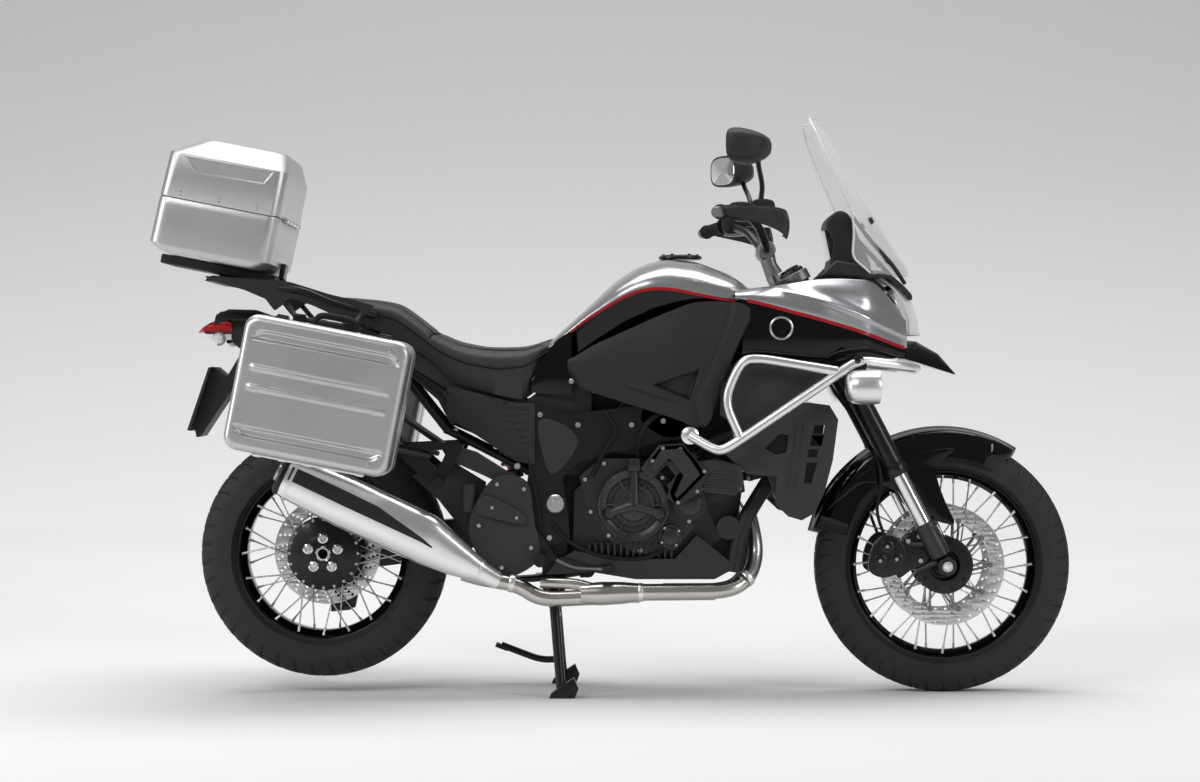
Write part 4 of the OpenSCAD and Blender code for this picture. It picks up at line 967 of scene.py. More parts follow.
def shroud(side, word):
    edge = [(268, 622), (330, 664), (480, 748), (538, 740), (560, 704), (546, 600), (525, 520), (500, 468),
        (468, 450), (434, 460), (400, 492), (404, 560), (330, 566)]
    holes = [[(375, 632), (412, 668), (434, 664), (428, 622), (404, 616)],
        [(495, 668), (522, 668), (526, 690), (500, 690)], [(488, 638), (514, 638), (520, 662), (493, 662)],
        [(482, 609), (505, 609), (509, 629), (485, 629)], [(474, 544), (492, 544), (507, 596), (480, 596)]]
    shell = plate("shroud", edge, side * 194 - 5, side * 194 + 5, holes, edge=3)
    ribs = [pipe("rib", [(x, side * 199, 520 + (x - 440) * 0.6),
        (x + 26, side * 199, 690 + (x - 440) * 0.3)], 2.4, 10) for x in (430, 448)]
    unite(f"radiator_shroud_{word}", [shell, *ribs], "grey", "radiators" if side < 0 else ())
    core = plate("core", [(366, 600), (404, 500), (452, 482), (466, 560), (474, 640), (484, 690),
        (486, 720), (440, 690), (366, 660)], side * 158, side * 184, edge=2)
    fins = [pipe("fin", [(410, side * 156, z), (468, side * 156, z)], 1.4, 6) for z in range(520, 690, 7)]
    unite(f"radiator_core_{word}", [core, *fins], "frame")


both(shroud)

# ---------------------------------------------------------------- exhaust

# the exhaust's middle line across the bike
CY = -186
finish(pipe("exhaust_headers", bend([(392, -118, 552), (362, -128, 506), (324, -140, 444), (304, -150, 366),
    (298, -156, 318)], 60, 14), 20, 36), "header", "exhaust_pipes", smooth=60)
unite("exhaust_downpipes",
    [pipe("a", bend([(340, -80, 470), (356, -96, 400), (358, -110, 350), (338, -150, 300), (286, CY, 271),
    (60, CY, 268), (-30, CY, 268)], 46, 14), 19, 36),
    pipe("b", bend([(300, 60, 500), (346, 76, 430), (352, 20, 350), (326, -60, 296), (280, CY + 44, 272),
    (120, CY + 36, 272)], 50, 12), 17, 32), pipe("sleeve", [(250, CY, 270), (70, CY, 268.4)], 21.5, 36),
    pipe("guard", [(60, CY - 6, 247), (-40, CY - 6, 250)], [5, 5], 16)], "pipe", smooth=60)
unite("exhaust_collector",
    [pipe("c", smooth_path([(70, CY, 268), (20, CY, 267), (-40, CY, 265), (-88, CY, 264)], 8),
    [22, 28, 30, 26], 40), pipe("d",
    bend([(-60, CY, 256), (-190, CY, 250), (-250, CY, 290), (-330, CY - 8, 302), (-386, CY - 10, 318)], 46,
    12), 20, 36), pipe("e", bend([(-60, CY, 278), (-100, CY, 290), (-190, CY + 6, 292)], 30, 8), 14, 28)],
    "pipe", smooth=60)
rings = [lathe("ring", [(19, -7), (23, -7), (24, -4), (24, 4), (23, 7), (19, 7)], p, d, 40)
    for p, d in (((330, -160, 303), (0.6, 0.3, 0.5)), ((62, CY, 268), (1, 0, 0)),
    ((-262, CY - 2, 292), (0.9, 0, -0.2)))]
unite("exhaust_clamps", rings, "steel")

# the muffler's front and back ends
F, B = np.array([-292, -195, 298.0]), np.array([-842, -206, 562.0])
D = (B - F) / np.linalg.norm(B - F)
UP = np.array([-D[2], 0, D[0]])
UP = UP if UP[2] > 0 else -UP
L = np.linalg.norm(B - F)


def can(t, a, grow=0.0):
    """A point on the muffler's shell: t from front to back, a round it."""
    h = np.interp(t, [0, 0.08, 0.2, 0.34, 0.7, 0.95, 1.0], [21, 27, 46, 64, 66, 60, 54]) + grow
    w = np.interp(t, [0, 0.08, 0.2, 0.34, 0.7, 0.95, 1.0], [21, 26, 36, 45, 46, 42, 38]) + grow
    lift = np.interp(t, [0, 0.2, 0.36, 1.0], [-2, 4, 14, 10])
    u, v = squircle(a, 2.6)
    return F + D * (t * L) + UP * (lift + h * v) + np.array([0, w * u, 0])


AROUND = np.linspace(0, 2 * pi, 72, endpoint=False)
finish(loft("muffler", [[can(t, a) for a in AROUND] for t in np.linspace(0, 0.985, 60)]), "muffler",
    "muffler", smooth=60)
tail = [[can(1.0, a, g) + D * d for a in AROUND] for g, d in ((-2, -14), (2, -12), (3, -4), (1, 3), (-5, 6),
    (-12, 5), (-14, -4))]
finish(loft("muffler_end_cap", tail), "frame", smooth=50)
finish(lathe("muffler_outlet", [(18, -30), (23, -30), (24, 12), (22, 14), (19, 12)], tuple(B + UP * 6),
    tuple(D), 48), "pipe")
shield = []
for t in np.linspace(0.31, 0.965, 50):
    top = pi - np.interp(t, [0.31, 0.42, 0.58, 1.0], [-0.06, 0.14, 0.40, 0.46])
    arc = np.linspace(top, pi + 0.12, 20)
    shield.append([can(t, a, 1.6) for a in arc] + [can(t, a, 0.6) for a in arc[::-1]])
finish(loft("muffler_heat_shield", shield), "matte", smooth=60)
bands = [[[can(t + e, a, g) for a in AROUND] for e, g in ((-0.006, 0.5), (-0.006, 2), (0.006, 2),
    (0.006, 0.5))] for t in (0.09, 0.95)]
unite("muffler_bands", [loft("band", b) for b in bands], "steel")


# ---------------------------------------------------------------- frame, engine and drive

def keep(node, mat, bevel):
    """Dresses a CAD node in a material, with rounded edges."""
    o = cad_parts[node]
    o.data.materials.clear()
    o.data.materials.append(M[mat])
    round_edges(o, bevel, 40).harden_normals = True
    o.data.shade_smooth()
    o.data.set_sharp_from_angle(angle=radians(40))


for row in (("frame", "frame", 3), ("engine", "engine", 4), ("engine_covers", "engine", 4),
        ("swingarm", "engine", 5), ("footrests", "frame", 2), ("rear_fender", "matte", 3),
        ("luggage_rack", "matte", 2.5)):
    keep(*row)

CLUTCH = (45, -186, 488)
bolts = [bolt(*spoke_end(CLUTCH, 79, a, -186), 5.5, -1, 5) for a in angles(9, 0.2)]
for y, r, h, places in ((-150, 6, 6, ((-78, 552), (-30, 592), (58, 596), (118, 556), (186, 446), (146, 384),
        (62, 372), (-18, 410), (-64, 470))), (-212, 5.5, 5, ((92, 600), (118, 632), (162, 630), (222, 574),
        (204, 524), (156, 496))), (-188, 5, 5, ((212, 568), (240, 586), (306, 580), (312, 530),
        (216, 530)))):
    bolts += [bolt(x, y, z, r, -1, h) for x, z in places]
for x, z in ((186, 492), (138, 408)):
    bolts += [bolt(*spoke_end((x, 0, z), 26, a, -170), 4, -1, 4) for a in angles(4, 0.6)]
bolts += [bolt(-249, -170, 586, 9, -1, 6), bolt(-112, -176, 800, 7, -1, 4), bolt(288, -226, 700, 6, -1, 4)]
unite("engine_bolts", bolts, "bolt", slot="disc_steel")
domes = [turned("clutch", [(0, 208), (22, 207), (38, 204), (41, 200), (41, 190), (52, 190), (56, 186),
    (0, 186)], (45, 0, 488), (0, -1, 0), 72),
    lathe("clutch_rim", [(84, 180), (90, 182), (90, 190), (86, 193), (70, 190), (66, 186)], (45, 0, 488),
    (0, -1, 0), 96), turned("pump", [(0, 178), (20, 178), (30, 174), (33, 168), (0, 168)], (186, 0, 492),
    (0, -1, 0), 48), turned("filler", [(0, 176), (15, 176), (22, 173), (24, 164), (0, 164)], (138, 0, 408),
    (0, -1, 0), 40)]
for x, z in ((46, 585), (-14, 469), (108, 467)):
    domes.append(pipe("lobe", [(45, -200, 488), (x, -194, z)], [16, 11], 20))
    domes.append(turned("eye", [(0, 205), (13, 204), (15, 200), (15, 184), (0, 184)], (x, 0, z), (0, -1, 0),
        32))
domes.append(plate("clip", [(30, 574), (62, 574), (60, 606), (32, 606)], -208, -190, edge=3))
domes += [pipe("rib", [spoke_end(CLUTCH, 40, a, -200), spoke_end(CLUTCH, 74, a, -187)], [3.5, 2.5], 10)
    for a in angles(6)]
unite("engine_side_domes", domes, "engine", bevel=0.8)
chevron = [plate("chevron", [(62, 580), (108, 640), (168, 645), (202, 606), (229, 566), (152, 488),
    (126, 509), (149, 564), (126, 591), (86, 548)], -212, -176, edge=4),
    plate("facet", [(84, 584), (114, 628), (164, 632), (190, 602), (212, 566), (154, 506), (146, 514),
    (168, 564), (134, 606), (98, 568)], -224, -206, edge=7),
    plate("intake", [(206, 598), (250, 606), (318, 588), (322, 540), (300, 512), (222, 520)], -206, -170,
    edge=6)]
chevron += [pipe("rib", [(216, -207, 532 + 14 * k), (306, -207, 526 + 14 * k)], 3.2, 12) for k in range(4)]
unite("engine_side_covers", chevron, "grey", bevel=0.8)
fins = [plate("fin", [(-70 + k * 16, 350), (-64 + k * 16, 350), (-64 + k * 16, 392), (-70 + k * 16, 392)],
    -156, -112, edge=1) for k in range(14)]
fins += [plate("fin", [(172, 600 + k * 9), (300, 590 + k * 9), (300, 593 + k * 9), (172, 603 + k * 9)],
    -124, -100, edge=0.8) for k in range(4)]
unite("engine_fins", fins, "engine")
head = [plate("head", [(-24, 628), (10, 742), (96, 764), (196, 700), (182, 640), (120, 610)], -128, -100,
    soft=True, edge=6), plate("box", [(60, 700), (84, 744), (168, 712), (176, 664), (120, 656)], -150, -124,
    soft=True, edge=5)]
unite("intake_housing", head, "matte")
hoses = [(smooth_path([(190, -150, 600), (232, -168, 640), (300, -172, 668), (392, -168, 690),
    (440, -170, 700)], 10), 13),
    (smooth_path([(318, -150, 560), (360, -172, 566), (404, -170, 590), (430, -168, 610)], 10), 12),
    (smooth_path([(60, -150, 596), (58, -168, 640), (76, -172, 690), (120, -160, 726)], 10), 7),
    (smooth_path([(-60, -152, 560), (-30, -162, 622), (0, -160, 676), (-30, -150, 726)], 10), 6),
    (smooth_path([(-190, -160, 420), (-196, -166, 480), (-212, -160, 560), (-230, -148, 640)], 10), 4.5),
    (smooth_path([(120, -166, 372), (60, -170, 352), (-40, -168, 360), (-120, -160, 396),
    (-160, -158, 440)], 10), 5)]
for k, (p, r) in enumerate(hoses):
    finish(pipe(f"hose_{k}", p, r, 20), "grip")
rings = [lathe("c", [(r, -5), (r + 2.2, -5), (r + 2.2, 5), (r, 5)], tuple(p[i]), tuple(p[i + 1] - p[i]),
    32) for p, r in ((hoses[0][0], 13), (hoses[1][0], 12)) for i in (2, len(hoses[0][0]) // 2, len(p) - 4)
    if i < len(p) - 1]
unite("hose_clips", rings, "bolt")
pivot = [turned("pivot", [(0, 172), (11, 172), (12, 170), (12, 166), (21, 166), (24, 163), (24, 158),
    (0, 158)], (-153, 0, 490), (0, -1, 0), 48)]
pivot += [bolt(x, -150, z, 8, -1, 6) for x, z in ((-192, 716), (-226, 690), (-96, 690), (40, 690),
    (-168, 404), (120, 700))]
unite("frame_bolts", pivot, "bolt")
finish(plate("frame_recess", [(-196, 700), (-130, 690), (-96, 646), (-128, 590), (-160, 566), (-182, 600)],
    -153, -148, soft=True, edge=1.5), "grey")

coil = []
sp, ep = np.array([-256, 0, 560.0]), np.array([-326, 0, 732.0])
sd = (ep - sp) / np.linalg.norm(ep - sp)
sn = np.array([sd[2], 0, -sd[0]])
for t in np.linspace(0, 1, 220):
    a = t * 2 * pi * 7.5
    coil.append(sp + (ep - sp) * t + 25 * (cos(a) * sn + sin(a) * np.array([0, 1.0, 0])))
shock = [pipe("coil", coil, 5, 12)]
unite("rear_shock_spring", shock, "spring", "rear_shock")
finish(pipe("rear_shock_body", [sp - sd * 10, sp + sd * 80, sp + sd * 82, ep], [17, 17, 9, 9], 32),
    "casting")

peg = []
for s in (-1, 1):
    for y0, n, x, z, r in ((178, 9, -190, 352, 15), (166, 7, -448, 545, 13)):
        for k in range(n):
            peg.append(lathe("tooth", [(r - 3, 0), (r + 1, 1.5), (r + 1, 5), (r - 3, 6.5)],
                (x, s * (y0 + 8 + k * 9), z), (0, s, 0), 20))
unite("footpeg_rubbers", peg, "grip")
lever = pipe("brake_pedal", smooth_path([(-150, -176, 350), (-110, -178, 332), (-66, -178, 327),
    (-20, -180, 326)], 8), [8, 6, 6, 7], 16, 0.7)
unite("brake_pedal", [lever, turned("pad", [(0, 0), (9, 0), (9, 44), (0, 44)], (-18, -180, 326), (0, -1, 0),
    20)], "casting")

drive = [turned("housing", [(0, 164), (26, 164), (34, 160), (60, 158), (76, 148), (80, 130), (80, 104),
    (0, 104)], (-751, 0, 358), (0, 1, 0), 72)]
drive += [bolt(*spoke_end(RA, 66, a, 156), 5.5, 1, 5) for a in angles(8)]
unite("final_drive_cover", drive, "engine")


air = [plate("air_box", [(-420, 690), (-380, 776), (-180, 752), (60, 790), (300, 900), (352, 860),
    (200, 640), (60, 600), (-120, 590), (-230, 560), (-300, 640)], -78, 78, edge=6),
    plate("battery_box", [(-215, 560), (-150, 700), (-60, 720), (60, 700), (60, 590), (-100, 560)], -110,
    110, edge=6), plate("gear_case", [(-190, 380), (-150, 330), (-100, 330), (-60, 600), (-200, 560),
    (-230, 470)], -80, 80, edge=6)]
air.append(plate("engine_back", [(60, 330), (56, 640), (200, 640), (250, 770), (330, 760), (300, 640),
    (316, 610), (322, 520), (310, 430), (290, 330)], -108, 108, edge=6))
unite("air_box", air, "matte")
hanger = [plate("heel_guard", [(-350, 500), (-300, 560), (-226, 548), (-206, 452), (-196, 350), (-286, 300),
    (-330, 330), (-372, 420)], -178, -168, soft=True, edge=2.5),
    plate("cylinder_cover", [(-330, 512), (-240, 470), (-232, 440), (-300, 452), (-352, 470)], -190, -176,
    soft=True, edge=4), plate("brace", [(-410, 640), (-352, 622), (-262, 566), (-250, 520), (-330, 560),
    (-420, 600)], -160, -148, edge=3),
    plate("mud_flap", [(-520, 560), (-420, 600), (-330, 545), (-330, 360), (-396, 430), (-452, 500)], -128,
    -120, edge=3), pipe("reservoir", [(-372, -160, 470), (-372, -160, 540)], [17, 17], 32)]
unite("heel_guard", hanger, "grey")
bits = [bolt(x, -178, z, 6, -1, 5) for x, z in ((-300, 540), (-232, 528), (-214, 380), (-288, 330),
    (-346, 436))]
bits += [bolt(x, -190, z, 5, -1, 4) for x, z in ((-312, 482), (-250, 456))]
unite("heel_guard_bolts", bits, "bolt")
tail = [plate("tail_panel", [(-650, 945), (-560, 902), (-500, 878), (-448, 842), (-412, 802), (-300, 772),
    (-232, 762), (-232, 700), (-396, 712), (-420, 690), (-452, 752), (-520, 812), (-650, 868)], s * 112,
    s * 122, edge=3) for s in (-1, 1)]
unite("tail_side_panels", tail, "matte")
gap = [plate("seat_pan", [(-430, 790), (-300, 760), (-236, 746), (-190, 780), (-130, 860), (-60, 800),
    (-60, 720), (-240, 700), (-430, 730)], -120, 120, edge=4)]
unite("seat_pan", gap, "matte")


# ---------------------------------------------------------------- rear end

rail = []
for s in (-1, 1):
    rail.append(pipe("grab", bend([(-612, s * 150, 968), (-640, s * 178, 976), (-722, s * 182, 1000),
        (-790, s * 184, 1030), (-850, s * 180, 1036)], 30, 8), 10, 22))
    rail.append(pipe("tail", bend([(-850, s * 176, 1036), (-905, s * 172, 1046), (-1000, s * 166, 1058),
        (-1030, s * 120, 1062), (-1034, 0, 1064)], 40, 8), 9, 20))
unite("rack_tubes", rail, "frame")
hooks = []
for s in (-1, 1):
    for x, z in ((-668, 934), (-792, 957)):
        hooks.append(plate("hook", [(x - 16, z - 10), (x + 16, z - 12), (x + 18, z + 10), (x - 14, z + 14)],
            s * 238, s * 254, edge=3))
unite("case_hooks", hooks, "frame")
top = [[(x, w * u, z) for u in np.linspace(-1, 1, 31)] + [(x, w * u * 0.97, z - h * (1 - abs(u) ** 3))
    for u in np.linspace(1, -1, 31)] for x, w, z, h in ((-987, 66, 951, 30), (-1012, 66, 960, 38),
    (-1040, 63, 952, 30), (-1060, 56, 940, 16), (-1074, 44, 928, 3))]
finish(loft("tail_light", top), "red_lens", "tail_light", smooth=60)
low = [[(x, w * u, z) for u in np.linspace(-1, 1, 31)] + [(x, w * u * 0.96, z - h)
    for u in np.linspace(1, -1, 31)] for x, w, z, h in ((-987, 60, 922, 14), (-1012, 60, 922, 16),
    (-1040, 56, 922, 12), (-1062, 48, 924, 4))]
finish(loft("tail_light_clear", low), "white_lens", smooth=60)
rear_blink = []
for s in (-1, 1):
    finish(pipe(f"indicator_stalk_{'r' if s < 0 else 'l'}", [(-1010, s * 50, 906), (-1010, s * 100, 908)],
        [6, 5], 16), "grip")
    rear_blink.append(turned("b", [(0, -22), (11, -20), (17, -8), (17, 8), (11, 20), (0, 22)],
        (-1010, s * 118, 908), (0, 1, 0), 36))
unite("rear_indicators", rear_blink, "white_lens")
finish(loft("number_plate", [[(-1043 + f, -88, 834), (-1043 + f, 88, 834), (-1097 + f, 88, 678),
    (-1097 + f, -88, 678)] for f in (0, 3)]), "white", bevel=0.8)
lip = [[(x, w * u, z - 26 * abs(u) ** 2.5) for u in np.linspace(-1, 1, 25)]
    + [(x + 3, w * u * 0.95, z - 5 - 26 * abs(u) ** 2.5) for u in np.linspace(1, -1, 25)]
    for x, w, z in ((-860, 80, 962), (-930, 82, 986), (-1000, 78, 988), (-1030, 70, 976))]
finish(loft("tail_cover", lip), "matte", smooth=60)


# ---------------------------------------------------------------- luggage

# the luggage leans forward by this angle
TILT = radians(11)


def case_point(p, at=(-724, 0, 765)):
    x, y, z = p
    return (at[0] + x * cos(TILT) + z * sin(TILT), y, at[2] - x * sin(TILT) + z * cos(TILT))


def round_rect(l, h, r, n):
    """Points round a rectangle with rounded corners, evenly spaced, as an array."""
    pts = []
    for cx, cz, a0 in ((1, 1, 0), (-1, 1, 90), (-1, -1, 180), (1, -1, 270)):
        for k in range(13):
            a = radians(a0 + 90 * k / 12)
            pts.append((cx * (l / 2 - r) + r * cos(a), cz * (h / 2 - r) + r * sin(a)))
    pts = np.array(pts + [pts[0]])
    d = np.r_[0, np.cumsum(np.linalg.norm(np.diff(pts, axis=0), axis=1))]
    q = np.linspace(0, d[-1], n, endpoint=False)
    return np.c_[np.interp(q, d, pts[:, 0]), np.interp(q, d, pts[:, 1])]


def pressed(x, z):
    """Height of the side case lid's pressed lines over its flat face."""
    h = 0.0
    for c, up in ((118, 1), (-118, -1)):
        end = 170 - up * (z - c) * 1.1
        h -= 7.0 * exp(-((z - c) / 11) ** 6) * (1 / (1 + exp((abs(x) - end) / 3)))
    for c in (38, -10):
        h += 4.5 * exp(-((z - c) / 6) ** 4) / (1 + exp((abs(x) - 168) / 3))
    return h


def side_case(side, word):
    l, h, n = 407, 333, 320
    base = round_rect(l, h, 34, n)

    def ring(y, inset):
        c = round_rect(l - 2 * inset, h - 2 * inset, max(34 - inset, 6), n)
        return [case_point((x, side * y, z)) for x, z in c]

    shell = [ring(257, 40), ring(256, 20), ring(259, 8), ring(266, 1.5), ring(274, 0), ring(350, 0),
        ring(351, 2), ring(357, 2), ring(358, -1.0), ring(365.8, -1.0), ring(366, 4), ring(352, 5),
        ring(262, 5)]
    shell.insert(0, [case_point((x * 0.01, side * 257, z * 0.01)) for x, z in base])
    shell.append([case_point((x * 0.01, side * 262, z * 0.01)) for x, z in base])
    finish(loft(f"{word}_pannier", shell, caps=False), "alu", f"{word}_pannier", smooth=35)
    lid = [ring(367 + d, i) for d, i in ((14, 5), (0.2, 4.5), (0, -1), (8, -1), (9, 2), (15, 2), (16, 0),
        (92, 0), (98, 1.2), (104, 4.5), (108, 9), (110.5, 16))]
    for s in np.linspace(0.985, 0.0, 96):
        row = []
        for x, z in round_rect(l - 32, h - 32, 24, n) * max(s, 0.004):
            row.append(case_point((x, side * (367 + 111 + pressed(x, z) - 0.5), z)))
        lid.append(row)
    lid = lid + [[case_point((x * 0.01, side * 470, z * 0.01)) for x, z in base], ring(470, 8)]
    finish(loft(f"{word}_pannier_lid", lid, caps=False), "alu", f"{word}_pannier_lid", smooth=35,
        body=f"{word}_pannier_lid")
    handle = [case_point((x, side * y, z)) for x, y, z in ((-52, 330, 168), (-48, 330, 186),
        (-30, 330, 194), (30, 330, 194), (48, 330, 186), (52, 330, 168))]
    finish(pipe(f"{word}_pannier_handle", smooth_path(handle, 4), [7, 8, 9, 9, 8, 7], 20), "grip")
    bits = []
    for x in (-128, 128):
        bits.append(plate("latch", [(-17, -22), (17, -22), (15, 22), (-15, 22)], -3, 3, edge=2.4,
            turn=lambda a, b, c, x=x: tuple(q * MM
            for q in case_point((x + a / MM, side * (384 + c / MM), 168.5 + b / MM)))))
        bits.append(pipe("bar", [case_point((x - 14, side * 370, 173)),
            case_point((x + 14, side * 370, 173))], 4, 16))
    unite(f"{word}_pannier_latches", bits, "frame", slot="black_matte", body=f"{word}_pannier_lid")
    hinge = [pipe("rod", [case_point((-140, side * 366.5, -172.5)),
        case_point((140, side * 366.5, -172.5))], 4, 20)]
    hinge += [pipe("ear", [case_point((x - 9, side * 366.5, -172.5)),
        case_point((x + 9, side * 366.5, -172.5))], 6, 24) for x in (-128, -64, 0, 64, 128)]
    unite(f"{word}_pannier_hinge", hinge, "steel")
    seal = [case_point((x, side * 366.6, z)) for x, z in round_rect(l - 8, h - 8, 30, 160)]
    seal.append(seal[0])
    finish(pipe(f"{word}_pannier_seal", seal, 1.6, 8), "grip")
    guards = []
    for cx, cz in ((1, 1), (1, -1), (-1, 1), (-1, -1)):
        for k in range(2):
            guards.append(turned("rivet", [(0, 0), (4.5, 0), (3.6, 2.2), (0, 2.8)],
                case_point((cx * (176 - 22 * k), side * 477, cz * (140 - (0 if k else 22)))), (0, side, 0),
                18))
    unite(f"{word}_pannier_rivets", guards, "bolt", body=f"{word}_pannier_lid")


both(side_case)

# the top case's lower rear corner
TC = (-1176, 0, 1132)


def tcp(p):
    return case_point(p, TC)


def cross(z, d):
    """The top case's outline in plan at a height in its own frame, shrunk by d."""
    x0 = np.interp(z, [0, 24, 255, 306], [24, 0, 10, 86]) + d
    x1 = np.interp(z, [0, 24, 262, 306], [288, 312, 312, 294]) - d
    w = np.interp(z, [0, 255, 306], [238, 238, 166]) - d
    r = 30
    out = []
    for cx, cy, a0 in ((x1 - r, w - r, 0), (x0 + r, w - r, 90), (x0 + r, r - w, 180), (x1 - r, r - w, 270)):
        for k in range(10):
            a = radians(a0 + 10 * k)
            out.append((cx + r * cos(a), cy + r * sin(a)))
    return out


def band(z, d):
    return [tcp((x, y, z)) for x, y in cross(z, d)]


low = [[tcp((156 + 0.01 * x, 0.01 * y, 0)) for x, y in cross(0, 0)], band(0, 22), band(1.5, 13), band(6, 6),
    band(13, 2), band(22, 0), band(120, 0), band(136, 0), band(138.6, 1.5), band(139, 4), band(120, 5),
    band(8, 6), [tcp((156 + 0.01 * x, 0.01 * y, 8)) for x, y in cross(8, 6)]]
finish(loft("top_box", low, caps=False), "alu", "top_box", smooth=35)
up = [band(152, 5), band(140.2, 4.5), band(140.4, 1.5), band(143, 0), band(248, 0), band(254, 1),
    band(259, 4), band(300, 1), band(304, 5), band(306, 13)]
roof = cross(306, 0)
up += [[tcp((190 + (x - 190) * s, y * s, 306 - (3.0 if s < 0.80 else 0))) for x, y in roof]
    for s in (0.83, 0.80, 0.785, 0.4, 0.004)]
up += [[tcp((190 + (x - 190) * 0.004, y * 0.004, 299)) for x, y in roof], band(296, 12), band(250, 6)]
finish(loft("top_box_lid", up, caps=False), "alu", "top_box_lid", smooth=35, body="top_box_lid")


def pressed_panel(side, word):
    """The pressed grip under the shoulder of the top case, and the rivets along its seam."""
    outer = [(49, 246), (84, 207), (263, 211), (284, 247)]
    inner = [(60, 246), (89, 214), (258, 218), (273, 247)]
    rows = []
    for y, a in ((238.0, 0.0), (241.5, 0.25), (242.0, 0.6), (240.0, 1.0), (238.4, 1.0)):
        rows.append([tcp((p[0] + (q[0] - p[0]) * a, side * y, p[1] + (q[1] - p[1]) * a))
            for p, q in zip(outer, inner)])
    finish(loft(f"top_box_press_{word}", rows), "alu", bevel=1.0, body="top_box_lid")
    dots = [turned("rivet", [(0, 0), (3.4, 0), (2.6, 1.6), (0, 2)], tcp((x, side * 237.6, z)), (0, side, 0),
        16) for x in (58, 156, 252) for z in (150, 158)]
    unite(f"top_box_rivets_{word}", dots, "bolt", body="top_box_lid")


both(pressed_panel)
rod = [pipe("rod", [tcp((318, -150, 139.5)), tcp((318, 150, 139.5))], 4, 20)]
rod += [pipe("ear", [tcp((318, y - 9, 139.5)), tcp((318, y + 9, 139.5))], 6, 24)
    for y in (-140, -70, 0, 70, 140)]
unite("top_box_hinge", rod, "steel")
seal = band(139.6, 3)
finish(pipe("top_box_seal", seal + [seal[0]], 1.6, 8), "grip")
foot = [(20, -118), (316, -118), (316, 118), (20, 118)]
base = loft("top_box_base", [[tcp((x, y, z)) for x, y in foot] for z in (-25, -1)])
finish(base, "matte", bevel=4)
latch = [loft("latch", [[tcp((312 + q, y, z)) for y, z in ((-32, -8), (32, -8), (28, 34), (-28, 34))]
    for q in (0, 14)]), loft("lock",
    [[tcp((-q, y, z)) for y, z in ((-40, 96), (40, 96), (34, 150), (-34, 150))] for q in (-1, 10)])]
unite("top_box_latches", latch, "frame", slot="black_matte", bevel=4)
finish(turned("top_box_key", [(0, 0), (9, 0), (9, 4), (7, 6), (0, 6)], tcp((-10, 0, 118)), (-1, 0, 0.19),
    28), "bolt")


# ---------------------------------------------------------------- stands

legs = []
for s in (-1, 1):
    legs.append(pipe("leg", bend([(-158, s * 122, 300), (-158, s * 122, 252), (-138, s * 168, 14)], 30, 8),
        [17, 16, 12], 28))
    legs.append(plate("foot", [(-168, 0), (-104, 0), (-94, 24), (-106, 52), (-148, 24), (-164, 12)],
        s * 156, s * 184, edge=2))
legs.append(pipe("bar", [(-158, -128, 285), (-158, 128, 285)], 13, 28))
legs.append(pipe("brace", [(-152, -134, 190), (-152, 134, 190)], 9, 24))
legs.append(pipe("tang", bend([(-144, 158, 66), (-196, 166, 62), (-302, 168, 102)], 30, 8), 9, 24))
legs.append(plate("pad", [(-318, 98), (-286, 86), (-282, 96), (-314, 109)], 152, 184, edge=2))
unite("centre_stand", legs, "frame", "centre_stand", slot="tube_black", body="centre_stand")
sp0 = np.array([-75, 190, 300])
stand = [pipe("leg", bend([sp0, sp0 + (-120, 6, -22), sp0 + (-262, 10, -30)], 40, 8), [13, 11, 10], 28),
    lathe("eye", [(8, -13), (20, -13), (21, -10), (21, 10), (20, 13), (8, 13)], tuple(sp0),
    (0.216, -0.976, 0), 40), plate("pad", [(-357, 262), (-345, 262), (-345, 306), (-357, 306)], 180, 228,
    edge=3)]
unite("side_stand", stand, "frame", "side_stand", slot="tube_black", body="side_stand")
spring = [(-120 - 90 * t, 213 + 7 * sin(t * 2 * pi * 18), 292 + 7 * cos(t * 2 * pi * 18) - 8 * t)
    for t in np.linspace(0, 1, 300)]
finish(pipe("side_stand_spring", spring, 1.6, 8), "bolt", body="side_stand")


# ---------------------------------------------------------------- floor, light and camera

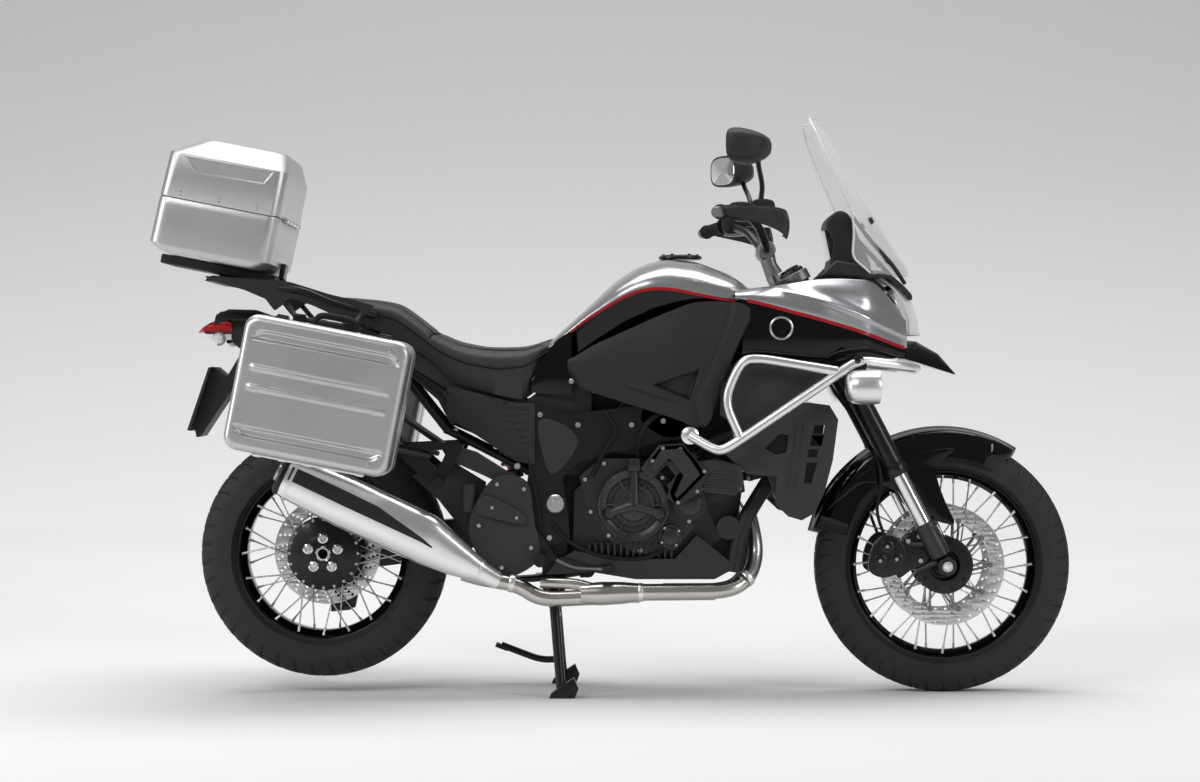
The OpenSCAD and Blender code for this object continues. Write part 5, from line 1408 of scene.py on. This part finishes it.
def stage_floor(glow):
    """A floor that curves up into a far wall. Glow lists its emission by y + z, the way along it."""
    profile = [(-16.0, 0.0), (9.0, 0.0)]
    profile += [(9.0 + 4.0 * sin(t), 4.0 - 4.0 * cos(t)) for t in np.linspace(0.05, pi / 2, 40)]
    profile += [(13.0, 14.0)]
    verts = [(x, y, z) for y, z in profile for x in (-30.0, 30.0)]
    faces = [(2 * i, 2 * i + 1, 2 * i + 3, 2 * i + 2) for i in range(len(profile) - 1)]
    me = bpy.data.meshes.new("floor")
    me.from_pydata(verts, [], faces)
    me.update()
    for f in me.polygons:
        f.use_smooth = True
    o = link("floor", me)
    m = bpy.data.materials.new("floor")
    m.use_nodes = True
    nt = m.node_tree
    b = nt.nodes["Principled BSDF"]
    b.inputs["Base Color"].default_value = (0.80, 0.80, 0.80, 1)
    b.inputs["Roughness"].default_value = 0.8
    b.inputs["Specular IOR Level"].default_value = 0.1
    b.inputs["Emission Strength"].default_value = 1.0
    where = nt.nodes.new("ShaderNodeNewGeometry")
    split = nt.nodes.new("ShaderNodeSeparateXYZ")
    total = nt.nodes.new("ShaderNodeMath")
    scaled = nt.nodes.new("ShaderNodeMath")
    scaled.operation = "DIVIDE"
    scaled.inputs[1].default_value = glow[-1][0]
    ramp = nt.nodes.new("ShaderNodeValToRGB")
    while len(ramp.color_ramp.elements) < len(glow):
        ramp.color_ramp.elements.new(0.5)
    for e, (along, level) in zip(ramp.color_ramp.elements, glow):
        e.position = along / glow[-1][0]
        e.color = (level, level, level, 1)
    nt.links.new(where.outputs["Position"], split.inputs[0])
    nt.links.new(split.outputs["Y"], total.inputs[0])
    nt.links.new(split.outputs["Z"], total.inputs[1])
    nt.links.new(total.outputs[0], scaled.inputs[0])
    nt.links.new(scaled.outputs[0], ramp.inputs["Fac"])
    nt.links.new(ramp.outputs["Color"], b.inputs["Emission Color"])
    me.materials.append(m)


def area(name, at, aim, size, power):
    d = bpy.data.lights.new(name, "AREA")
    d.shape = "RECTANGLE"
    d.size, d.size_y = size
    d.energy = power
    o = link(name, d)
    o.location = at
    o.rotation_euler = (Vector(aim) - Vector(at)).to_track_quat("-Z", "Y").to_euler()


GLOW = [(0.0, 0.0), (1.6, 0.02), (2.9, 0.13), (5.2, 0.31), (9.0, 0.445), (10.4, 0.425), (12.0, 0.365),
    (13.2, 0.303), (14.3, 0.235), (15.2, 0.170), (16.0, 0.122), (16.7, 0.085), (27.0, 0.05)]
stage_floor(GLOW)
area("key", (-3.2, -4.6, 4.4), (-0.2, 0, 0.7), (3.0, 1.4), 120)
area("fill", (4.6, -3.6, 2.6), (0.3, 0, 0.6), (0.9, 3.0), 85)
area("top", (0, 0.2, 4.6), (0, 0.2, 0), (5.0, 2.0), 135)
area("edge", (-5.2, -1.8, 1.9), (-0.1, -0.2, 0.6), (0.9, 2.6), 75)
area("wall", (0, 2.6, 6.4), (0, 5.6, 0.8), (9.0, 1.6), 178)
world = bpy.data.worlds.new("world")
bpy.context.scene.world = world
world.use_nodes = True
world.node_tree.nodes["Background"].inputs[0].default_value = (0.80, 0.80, 0.80, 1)
world.node_tree.nodes["Background"].inputs[1].default_value = 0.26

cam = bpy.data.cameras.new("camera")
cam.lens = 78.7
cam.sensor_width = 36
cam.clip_end = 100
eye = link("camera", cam)
eye.location = (-0.040, -6.8, 0.776)
eye.rotation_euler = (radians(90), 0, 0)
bpy.context.scene.camera = eye
bpy.context.scene.view_settings.view_transform = "Standard"
